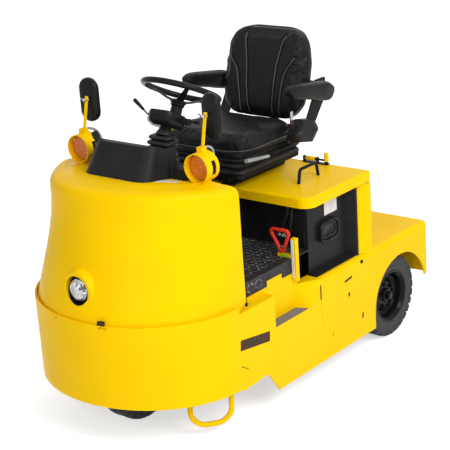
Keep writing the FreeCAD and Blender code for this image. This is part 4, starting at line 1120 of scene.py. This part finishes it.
class TRACTOR_OT_column(bpy.types.Operator):
    """Rubber boot with its folds, bell, switch housing and levers, and the wire, knob and blank
    label beside them"""
    bl_idname = "tow_tractor.column"
    bl_label = "Steering column"

    def execute(self, context):
        top, fold_pitch, lean = 1.234, 0.023, 0.13
        rings = [level_ring(0.045, -0.458, -0.394, 1.076, 0.012)]
        # Half width and half depth of each fold, from the lowest up.
        folds = [(0.051, 0.035), (0.057, 0.038), (0.063, 0.042), (0.065, 0.043), (0.060, 0.038)]
        for index, (half, depth) in enumerate(folds):
            crest = top - fold_pitch * (len(folds) - 1 - index)
            for drop, inset in ((0.019, 0.013), (0.014, 0.003), (0.010, 0), (0.004, 0.0005), (0, 0.004),
                                (-0.001, 0.010)):
                z = crest - drop
                y = -0.414 + (z - 1.190) * lean
                rings.append(level_ring(half - inset, y - depth + inset, y + depth - inset, z, 0.016))
        bell_place = axis_frame((0, -0.400, 1.231), (0, 0.35, 0.94))
        bell = lathe([(0, 0), (0.039, 0), (0.040, 0.004), (0.037, 0.010), (0.030, 0.019), (0.0245, 0.030),
                      (0.022, 0.040), (0, 0.040)], bell_place, 40)
        finished("column_boot_folds", [skin(rings), bell], "chassis", "bellows", ["column_boot"], 42)

        place = joint_place("hand_wheel_turn")
        plan = [(-0.092, -0.072), (-0.048, -0.110), (0.044, -0.110), (0.060, -0.094), (0.066, -0.008),
                (0.038, 0.034), (-0.038, 0.034), (-0.082, -0.008)]

        def ring(inset, z):
            shrunk = [(x - math.copysign(inset, x), y - math.copysign(inset, y)) for x, y in plan]
            return [place @ Vector((x, y, z)) for x, y in rounded(shrunk, 0.006, 3)]
        case = stacked(ring, ((0.005, -0.114), (0.001, -0.1155), (0, -0.119), (0, -0.140), (0.0012, -0.1405),
                              (0.0012, -0.142), (0, -0.1425), (0, -0.158), (0.004, -0.168),
                              (0.018, -0.180)))
        neck = lathe([(0, -0.116), (0.032, -0.116), (0.031, -0.108), (0.0265, -0.104), (0.0262, -0.0768),
                      (0, -0.0768)], place, 40)
        finished("switch_housing_moulded", [case, neck], "chassis", "gloss", ["column_housing"], 32)

        # Each lever's foot, direction, and the lengths of its bar and knob.
        levers = []
        for start, way, bar, knob in (((-0.074, -0.069, -0.149), (-0.88, 0.06, 0.48), 0.068, 0.080),
                                      ((0.084, -0.014, -0.138), (1, 0.1, 0.1), 0.040, 0.032)):
            own = place @ axis_frame(start, way)
            levers.append(lathe([(0, 0), (0.0065, 0), (0.0065, 0.008), (0.0036, 0.012), (0.0036, bar),
                                 (0, bar)], own, 16))
            levers.append(lathe([(0, bar - 0.004), (0.0055, bar - 0.004), (0.0068, bar + 0.004),
                                 (0.0095, bar + knob - 0.010), (0.0088, bar + knob - 0.003),
                                 (0.006, bar + knob), (0, bar + knob)], own, 24))
        socket = brick((0.054, -0.034, -0.150), (0.094, 0.004, -0.124), 0.004)
        cap = lathe([(0, 0), (0.014, 0), (0.014, 0.010), (0.011, 0.013), (0, 0.013)],
                    axis_frame((0.094, -0.015, -0.137), X), 24)
        for shape in (socket, cap):
            shape.transform(place)
        finished("column_levers", levers + [socket, cap], "chassis", "moulded", sharp=32)

        # The wire is clipped under the boot and to the ledge.
        wire = finely([(0.070, -0.452, 1.150), (0.094, -0.486, 1.190), (0.118, -0.520, 1.216),
                       (0.160, -0.556, 1.206), (0.197, -0.590, 1.176), (0.216, -0.606, 1.150),
                       (0.222, -0.612, 1.127)])
        ledge = ((0.262, -0.600), (0.266, -0.640), (0.186, -0.690), (0.186, -0.640))
        strip = sticker("front_cowl", [(x, y, 1.3) for x, y in ledge], -Z)
        finished("ledge_label_blank", strip, "chassis", "label")
        grip = lathe([(0, 0), (0.010, 0), (0.013, 0.004), (0.013, 0.030), (0.016, 0.036), (0.016, 0.056),
                      (0.012, 0.062), (0, 0.062)], axis_frame((-0.176, -0.628, 1.224), (-0.5, 0.1, 0.85)), 24)
        finished("console_trim", [along(wire, 0.0022, 8), grip], "chassis", "moulded")
        return {"FINISHED"}


class TRACTOR_OT_footwell(bpy.types.Operator):
    """Raised marks of the chequer plate and its lip, step pads and pedal rubbers"""
    bl_idname = "tow_tractor.footwell"
    bl_label = "Footwell"

    def execute(self, context):
        pitch = context.scene.tractor_sizes.chequer_pitch
        edge, _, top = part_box("floor_plate")[1]
        mark_lean = 0.62

        def marks(wide, tall, place):
            """Raised marks over one rectangle, set in place."""
            columns = int((wide[1] - wide[0]) / pitch)
            rows = int((tall[1] - tall[0]) / pitch)
            spots = [(wide[0] + (i + 0.5) * pitch, tall[0] + (j + 0.5) * pitch, 0)
                     for j in range(rows) for i in range(columns)]
            carrier = bpy.data.meshes.new("grid")
            carrier.from_pydata(spots, [], [])
            mark = brick((-0.0115, -0.0032, -0.0004), (0.0115, 0.0032, 0.0018), 0.0009, 1)
            # The marks' light grey is partly real wear and partly painted glint.
            plate = laid_out(trees["tread"], carrier, mark, "worn", Lean=mark_lean, Columns=columns)
            plate.transform(place)
            return plate
        pieces = [marks((-0.462, 0.462), (-0.53, -0.02), Matrix.Translation((0, 0, top)))]
        for side in (1, -1):
            upright = axis_frame((side * edge, 0, 0), X * side, Y * side)
            run = (-0.530, -0.350) if side > 0 else (0.350, 0.530)
            pieces.append(marks(run, (0.588, 0.648), upright))
        finished("floor_plate_marks", pieces, "chassis", "worn")

        outline = [(0.468, -0.350), (0.525, -0.350), (0.525, -0.104), (0.468, -0.128)]
        pads = [prism(rounded([(side * x, y) for x, y in outline[::side]], 0.004), 0.408, 0.4098, HERE)
                for side in (1, -1)]
        finished("step_pads", pads, "chassis", "pad")

        # Middle and half width of each pedal.
        ribs = []
        for x, half in ((-0.130, 0.030), (0.090, 0.043)):
            own = Matrix.Translation((x, -0.610, 0.662)) @ Matrix.Rotation(math.radians(32), 4, "X")
            for i in range(7):
                rise = i * 0.0115
                rib = brick((-half, 0.0095, 0.009 + rise), (half, 0.0125, 0.015 + rise), 0.001)
                rib.transform(own)
                ribs.append(rib)
        finished("pedal_rubbers", ribs, "chassis", "rubber")
        return {"FINISHED"}


# ---------------------------------------------------------------- lamps and mirrors

class TRACTOR_OT_headlight(bpy.types.Operator):
    """Domed clear lens over a faceted reflector and bulb, with its can and trim ring"""
    bl_idname = "tow_tractor.headlight"
    bl_label = "Headlight"

    def execute(self, context):
        low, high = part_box("headlight_lens")
        place = axis_frame((0, high[1], (low[2] + high[2]) / 2), -Y)
        radius = high[0]
        # The sealed unit stands forward in its cup, and its glass is domed.
        front = 0.036
        dome = [(0, front + 0.019), (0.45 * radius, front + 0.0175), (0.75 * radius, front + 0.0135),
                (0.92 * radius, front + 0.007), (0.965 * radius, front), (0.965 * radius, front - 0.005),
                (0.90 * radius, front - 0.004), (0.72 * radius, front + 0.007),
                (0.4 * radius, front + 0.0125), (0, front + 0.0145)]
        finished("headlight_lens_domed", lathe(dome, place, 48), "chassis", "clear", ["headlight_lens"], 30)
        bowl = [(0.94, front - 0.004), (0.86, front - 0.014), (0.68, front - 0.026), (0.42, front - 0.034),
                (0.20, front - 0.037)]
        wall, facets = 0.003, 16
        shell = [(r * radius, h) for r, h in bowl] + [(r * radius, h - wall) for r, h in reversed(bowl)]
        finished("headlight_reflector", lathe(shell, place, facets, loop=True), "chassis", "chrome", sharp=4)
        cap = front - 0.006
        bulb = lathe([(0, cap), (0.006, cap - 0.002), (0.009, cap - 0.008), (0.009, cap - 0.022),
                      (0.011, cap - 0.028), (0.011, cap - 0.034), (0, cap - 0.034)], place, 20)
        finished("headlight_bulb", bulb, "chassis", "clear")
        can = lathe([(0, 0), (0.98 * radius, 0), (0.98 * radius, front - 0.004),
                     (0.945 * radius, front - 0.004), (0.945 * radius, front - 0.006),
                     (0.9 * radius, front - 0.03), (0.3 * radius, 0.002), (0, 0.002)], place, 48)
        finished("headlight_can", can, "chassis", "gloss", sharp=40)
        trim = lathe([(radius + 0.0004, 0.002), (radius + 0.0004, 0.012), (radius + 0.003, 0.016),
                      (radius + 0.0075, 0.017), (radius + 0.0115, 0.013), (radius + 0.0125, 0.004),
                      (radius + 0.0125, 0.000), (radius + 0.004, -0.001)], place, 64, loop=True)
        finished("headlight_trim_ring", trim, "chassis", "gloss", sharp=40)
        return {"FINISHED"}


class TRACTOR_OT_indicators(bpy.types.Operator):
    """Ribbed amber lenses on their black bodies, and the cable behind each"""
    bl_idname = "tow_tractor.indicators"
    bl_label = "Indicators"

    def execute(self, context):
        x, front, z = 0.343, -0.574, 1.175
        place = axis_frame((x, front, z), -Y)
        radius, crown, grooves, groove_depth = 0.0525, 0.0035, 6, 0.0007
        face = []
        for share in (i / 33 for i in range(34)):
            groove = groove_depth * math.cos(share * grooves * math.tau)
            face.append((radius * share, crown * (1 - share ** 3) + groove))
        face += [(0.0545, -0.002), (0.056, -0.006), (0.056, -0.013), (0, -0.013)]
        lens_shape = lathe(face, place, 72)
        finished("indicator_lenses_ribbed", both_sides(lens_shape), "chassis", "amber",
                 ["indicator_lenses"], 50)
        body = lathe([(0, -0.0135), (0.0568, -0.0135), (0.0572, -0.018), (0.0545, -0.037), (0.050, -0.039),
                      (0, -0.039)], place, 48)
        strap = brick((x - 0.010, -0.556, z + 0.052), (x + 0.010, -0.538, z + 0.0592), 0.001)
        black = gather([body, strap])
        finished("indicator_bodies", both_sides(black), "chassis", "moulded", sharp=30)
        heads = []
        screw_circle = 0.036
        for angle in (0.5, 2.6, 3.7, 5.8):
            at = place @ Vector((screw_circle * math.cos(angle), screw_circle * math.sin(angle), 0.001))
            heads += [(Vector((side * at.x, at.y, at.z)), -Y) for side in (1, -1)]
        screw = lathe([(0, 0), (0.0038, 0), (0.0038, 0.0014), (0.0028, 0.0024), (0.0012, 0.0024),
                       (0.0008, 0.0012), (0, 0.0012)], HERE, 12)
        finished("indicator_screws", laid_out(trees["studs"], points_mesh(heads), screw, "zinc",
                                              Turn=3.0, Seed=4), "chassis", "zinc")
        path = finely([(x, -0.548, 1.250), (x, -0.520, 1.252), (x - 0.005, -0.485, 1.236),
                       (x - 0.013, -0.465, 1.204), (x - 0.022, -0.472, 1.160), (x - 0.030, -0.500, 1.110),
                       (x - 0.034, -0.535, 1.080)], 0.004)
        hose = along(path, [0.0052 + 0.0008 * (i % 2) for i in range(len(path))], 12)
        finished("indicator_cables", both_sides(hose), "chassis", "grey")
        return {"FINISHED"}


class TRACTOR_OT_mirrors(bpy.types.Operator):
    """Mirror glass, rounded mirror backs and the wing bolts that hold the stems"""
    bl_idname = "tow_tractor.mirrors"
    bl_label = "Mirrors"

    def execute(self, context):
        swing = math.radians(6)
        facing = Vector((math.sin(swing), math.cos(swing), 0))
        across = Vector((math.cos(swing), -math.sin(swing), 0))
        place = axis_frame((0.352, -0.495, 1.375), facing, across)

        def stadium(half, depth):
            """Outline of the long round mirror, half as wide as given and 50 mm longer each way."""
            tall = half + 0.050
            outline = oblong((-half, half), (-tall, tall), half * 0.985, 12)
            return [place @ Vector((u, v, depth)) for u, v in outline]
        shell = stacked(stadium, ((0.034, -0.0075), (0.042, -0.0055), (0.0475, -0.0015), (0.0500, 0.004),
                                  (0.0500, 0.0165), (0.0490, 0.0185), (0.0465, 0.0185), (0.0455, 0.0165),
                                  (0.0440, 0.0165)))
        finished("mirror_shells", both_sides(shell), "chassis", "gloss", ["mirrors"], 40)
        glass = stacked(stadium, ((0.0448, 0.0160), (0.0448, 0.0172), (0.0440, 0.0176)))
        finished("mirror_glass", both_sides(glass), "chassis", "mirror")
        bolt_at = Vector((0.343, -0.527, 1.383))
        boss = lathe([(0, -0.030), (0.004, -0.030), (0.004, 0), (0.0075, 0), (0.0075, 0.007), (0.005, 0.010),
                      (0, 0.010)], axis_frame(bolt_at, -Y), 20)
        ears = []
        for side in (1, -1):
            ear = [bolt_at + Vector((side * u, -0.004, v)) for u, v in
                   ((0.004, 0.000), (0.012, 0.003), (0.019, 0.007), (0.024, 0.009))]
            ears.append(along(finely(ear, 0.003), 0.0052, 10, 0.45))
        wing = gather([boss] + ears)
        finished("mirror_wing_bolts", both_sides(wing), "chassis", "zinc", sharp=40)
        return {"FINISHED"}


# ---------------------------------------------------------------- labels, latch and fasteners

def plain_bolt(size):
    """A hexagon head with its washer, of one across-corners size."""
    washer = [(0, 0), (size * 1.25, 0), (size * 1.25, size * 0.18), (0, size * 0.18)]
    return gather([lathe(washer, HERE, 18),
                   prism(hexagon(size), size * 0.1, size * 0.85, HERE, size * 0.12, 1)])


class TRACTOR_OT_battery_side(bpy.types.Operator):
    """Charging socket with its octagonal bezel, blank plate and trim of the battery compartment"""
    bl_idname = "tow_tractor.battery_side"
    bl_label = "Battery side"

    def execute(self, context):
        low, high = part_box("charge_socket")
        centre = ((low[1] + high[1]) / 2, (low[2] + high[2]) / 2)
        half = ((high[1] - low[1]) / 2, (high[2] - low[2]) / 2)
        place = axis_frame((low[0] - 0.004, *centre), X, Y)

        def octagon(inset, depth):
            a, b = half[0] - inset, half[1] - inset
            flat = 1 - 0.34
            corners = [(-a, -b * flat), (-a * flat, -b), (a * flat, -b), (a, -b * flat),
                       (a, b * flat), (a * flat, b), (-a * flat, b), (-a, b * flat)]
            return [place @ Vector((u, v, depth)) for u, v in rounded(corners, 0.006, 3)]
        bezel = stacked(octagon, ((0.004, 0), (0.004, 0.010), (0, 0.012), (0, 0.022), (0.003, 0.0255),
                                  (0.009, 0.0265), (0.012, 0.024), (0.013, 0.010)))
        cover = stacked(octagon, ((0.0135, 0.008), (0.0135, 0.017), (0.016, 0.0195), (0.026, 0.0195),
                                  (0.028, 0.014), (0.030, 0.013)))
        hinge = along([place @ Vector((u, half[1] * 0.93, 0.024)) for u in (-0.022, 0.022)], 0.005, 12)
        tab = brick((-0.012, -half[1] * 0.98, 0.018), (0.012, -half[1] * 0.72, 0.028), 0.003)
        tab.transform(place)
        finished("charge_socket_bezel", [bezel, cover, hinge, tab], "chassis", "gloss",
                 ["charge_socket"], 35)
        corners = ((0.142, 0.765), (0.243, 0.765), (0.243, 0.826), (0.142, 0.826))
        plate = sticker("battery_side_panel_left", [(0.6, y, z) for y, z in corners], -X)
        finished("battery_plate_blank", plate, "chassis", "label")
        strips = gather([brick((x, -0.007, 0.662), (x + 0.008, 0.0005, 0.735), 0.0018)
                         for x in (0.412, 0.424, 0.437)])
        finished("battery_corner_strips", both_sides(strips), "chassis", "panel")
        return {"FINISHED"}


class TRACTOR_OT_brake(bpy.types.Operator):
    """Dipped brake grip, its fasteners, the white guide plate and the lime tag"""
    bl_idname = "tow_tractor.brake"
    bl_label = "Parking brake"

    def execute(self, context):
        y = -0.130
        outline = rounded([(0.344, 0.771), (0.456, 0.773), (0.4165, 0.669), (0.4065, 0.669)],
                          [0.014, 0.014, 0.004, 0.004], 7)
        bar = [Vector((x, y, z)) for x, z in outline]
        grip = along(bar + bar[:2], 0.0088, 14)
        stub = along([(0.412, y, 0.676), (0.412, y, 0.654)], [0.0105, 0.0085], 14)
        finished("brake_grip_dipped", [grip, stub], "chassis", "grip", ["brake_grip"], 50)
        low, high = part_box("brake_bracket")
        plate = brick((high[0] - 0.023, low[1] - 0.0018, low[2] + 0.016),
                      (high[0] - 0.009, low[1] + 0.0004, high[2] - 0.006), 0.0008)
        finished("brake_guide_plate", plate, "chassis", "label")
        tag = prism(rounded([(-0.026, -0.008), (0.016, -0.008), (0.022, 0.002), (0.012, 0.010),
                             (-0.024, 0.010)], 0.003), 0, 0.0012, axis_frame((0.438, -0.1412, 0.659), -Y, X))
        finished("brake_tag_lime", tag, "chassis", "lime")
        bolts = [((x, -0.1395, z), -Y) for x, z in ((0.400, 0.752), (0.418, 0.748), (0.412, 0.694))]
        link = prism(rounded([(-0.028, -0.010), (0.028, -0.010), (0.020, 0.012), (-0.020, 0.012)], 0.005),
                     -0.002, 0.002, axis_frame((0.408, y, 0.750), -Y, X))
        heads = laid_out(trees["studs"], points_mesh(bolts), plain_bolt(0.0062), "zinc", Turn=1.0, Seed=9)
        heads.transform(Matrix.Translation(Y * 0.0075))
        finished("brake_link", [link, heads], "chassis", "zinc", sharp=35)
        return {"FINISHED"}


class TRACTOR_OT_latch_and_belt(bpy.types.Operator):
    """Sleeve and knob of the hood latch, the belt's cap, button and tongue, and the weight lever"""
    bl_idname = "tow_tractor.latch_and_belt"
    bl_label = "Latch and belt"

    def execute(self, context):
        low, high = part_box("hood_latch")
        z = low[2] + 0.020
        sleeve = lathe([(0.0093, 0), (0.0102, 0.002), (0.0102, 0.054), (0.0093, 0.056), (0.0085, 0.056),
                        (0.0085, 0)], axis_frame((low[0] + 0.013, 0.415, z), X), 28, loop=True)
        knob = lathe([(0, 0.012), (0.0108, 0.012), (0.0112, 0.016), (0.0112, 0.050), (0.0095, 0.0535),
                      (0, 0.0545)], axis_frame((high[0] - 0.010, 0.415, low[2] + 0.004), Z), 28)
        finished("hood_latch_caps", [sleeve, knob], "hood", "enamel", sharp=35)
        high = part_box("belt_retractor")[1]
        outline = [(0.141, 1.132), (0.180, 1.086), (0.283, 1.064), (0.339, 1.114), (0.302, 1.168),
                   (0.204, 1.186)]
        place = axis_frame((high[0], 0, 0), X, Y)
        middle = Vector((sum(y for y, z in outline), sum(z for y, z in outline))) / len(outline)

        def ring(share, depth):
            shrunk = [tuple(middle + (Vector(p) - middle) * share) for p in outline]
            return [place @ Vector((y, v, depth)) for y, v in rounded(shrunk, 0.014 * share, 4)]
        cap = stacked(ring, ((0.97, -0.002), (0.96, 0.002), (0.90, 0.0045), (0.62, 0.005), (0.58, 0.003),
                             (0.30, 0.003)))
        finished("belt_reel_cap", cap, "hood", "gloss", sharp=30)
        level = axis_frame((0, 0, 0), X, Y)
        red = prism(oblong((0.146, 0.164), (1.176, 1.186), 0.002), 0.2895, 0.2912, level)
        finished("belt_button", red, "hood", "grip")
        tongue = prism(oblong((0.143, 0.163), (1.196, 1.238), 0.004), 0.2893, 0.2905, level, 0.0004, 1)
        finished("belt_tongue", tongue, "hood", "zinc")
        bar = [(0.2385, -0.133, 1.070), (0.2385, -0.05, 1.061), (0.2385, 0.028, 1.052)]
        lever = along(bar, [0.0125, 0.0125, 0.0095], 16, 0.7)
        finished("weight_lever_grip", lever, "hood", "grey", ["weight_lever"])
        return {"FINISHED"}


class TRACTOR_OT_fasteners(bpy.types.Operator):
    """Bolts, plugs, slots drawn as painted shade, and blank bands on the outer panels"""
    bl_idname = "tow_tractor.fasteners"
    bl_label = "Fasteners and decals"

    def execute(self, context):
        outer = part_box("side_frame_left")[1][0]
        spots = [((side * outer, y, z), (side, 0, 0))
                 for side in (1, -1) for y, z in ((-0.551, 0.589), (0.330, 0.490))]
        dark = laid_out(trees["studs"], points_mesh(spots), plain_bolt(0.0075), "powder", Turn=1.0, Seed=3)
        finished("panel_bolts", dark, "chassis", "powder", sharp=35)
        plug = [(0, 0), (0.0042, 0), (0.0038, 0.0012), (0, 0.0014)]
        marks = [lathe(plug, axis_frame((outer, y, z), X, Y), 14)
                 for y, z in ((-0.600, 0.318), (-0.585, 0.309), (-0.568, 0.298))]
        finished("side_plugs", marks, "chassis", "powder")
        # Short slots, a hole and the lifting slot are flat dark films in both side frames: painted shade
        # where the openings are shaded.
        cuts = []
        for side in (1, -1):
            own = axis_frame((side * (outer - 0.0005), 0, 0), X * side, Y * side)
            # Middle, half width, half height and lean of each.
            for y, z, half, rise, lean in (
                    (0.2175, 0.439, 0.030, 0.006, 0.13), (0.219, 0.362, 0.007, 0.011, 0.0),
                    (0.329, 0.216, 0.006, 0.016, -0.2), (-0.006, 0.450, 0.003, 0.036, 0.0)):
                turn = Matrix.Rotation(lean, 4, "Z")
                shape = prism(oblong((-half, half), (-rise, rise), min(half, rise) * 0.8, 3), 0, 0.0009, HERE)
                shape.transform(own @ Matrix.Translation((side * y, z, 0)) @ turn)
                cuts.append(shape)
        band = prism(rounded([(-0.602, 0.441), (-0.400, 0.410), (-0.404, 0.364), (-0.607, 0.394)], 0.003),
                     0, 0.0012, axis_frame((outer, 0, 0), X, Y))
        # The bumper's slot is also a flat dark film, painted shade in its recess.
        on_bumper = axis_frame((0.1425, -1.0396, 0.601), (0.27, -0.963, 0), (0.963, 0.27, 0))
        bumper = prism(rounded([(-0.020, -0.011), (0.020, -0.011), (0.020, 0.011), (-0.012, 0.011)], 0.004),
                       -0.001, 0.0012, on_bumper)
        finished("dark_slots", cuts + [bumper], "chassis", "stripe")
        finished("side_band", band, "chassis", "stripe")
        return {"FINISHED"}


# ---------------------------------------------------------------- panel and run

operators = [TRACTOR_OT_stage, TRACTOR_OT_paint, TRACTOR_OT_tyres, TRACTOR_OT_rims, TRACTOR_OT_seat,
             TRACTOR_OT_armrests, TRACTOR_OT_suspension, TRACTOR_OT_steering_wheel, TRACTOR_OT_column,
             TRACTOR_OT_footwell, TRACTOR_OT_headlight, TRACTOR_OT_indicators, TRACTOR_OT_mirrors,
             TRACTOR_OT_battery_side, TRACTOR_OT_brake, TRACTOR_OT_latch_and_belt, TRACTOR_OT_fasteners]


class TRACTOR_PT_panel(bpy.types.Panel):
    """Lists the pieces in the sidebar"""
    bl_idname = "TRACTOR_PT_panel"
    bl_label = "Tow tractor"
    bl_space_type = "VIEW_3D"
    bl_region_type = "UI"
    bl_category = "Tow tractor"

    def draw(self, context):
        for group in (context.scene.tractor_colours, context.scene.tractor_sizes):
            for name in group.__annotations__:
                self.layout.prop(group, name)
        for item in operators:
            self.layout.operator(item.bl_idname)


classes = [TractorColours, TractorSizes, *operators, TRACTOR_PT_panel]


def register():
    for item in classes:
        bpy.utils.register_class(item)
    bpy.types.Scene.tractor_colours = PointerProperty(type=TractorColours)
    bpy.types.Scene.tractor_sizes = PointerProperty(type=TractorSizes)


def unregister():
    del bpy.types.Scene.tractor_sizes
    del bpy.types.Scene.tractor_colours
    for item in reversed(classes):
        bpy.utils.unregister_class(item)


def main():
    register()
    for item in operators:
        getattr(bpy.ops.tow_tractor, item.bl_idname.split(".")[1])()


if __name__ == "__main__":
    main()
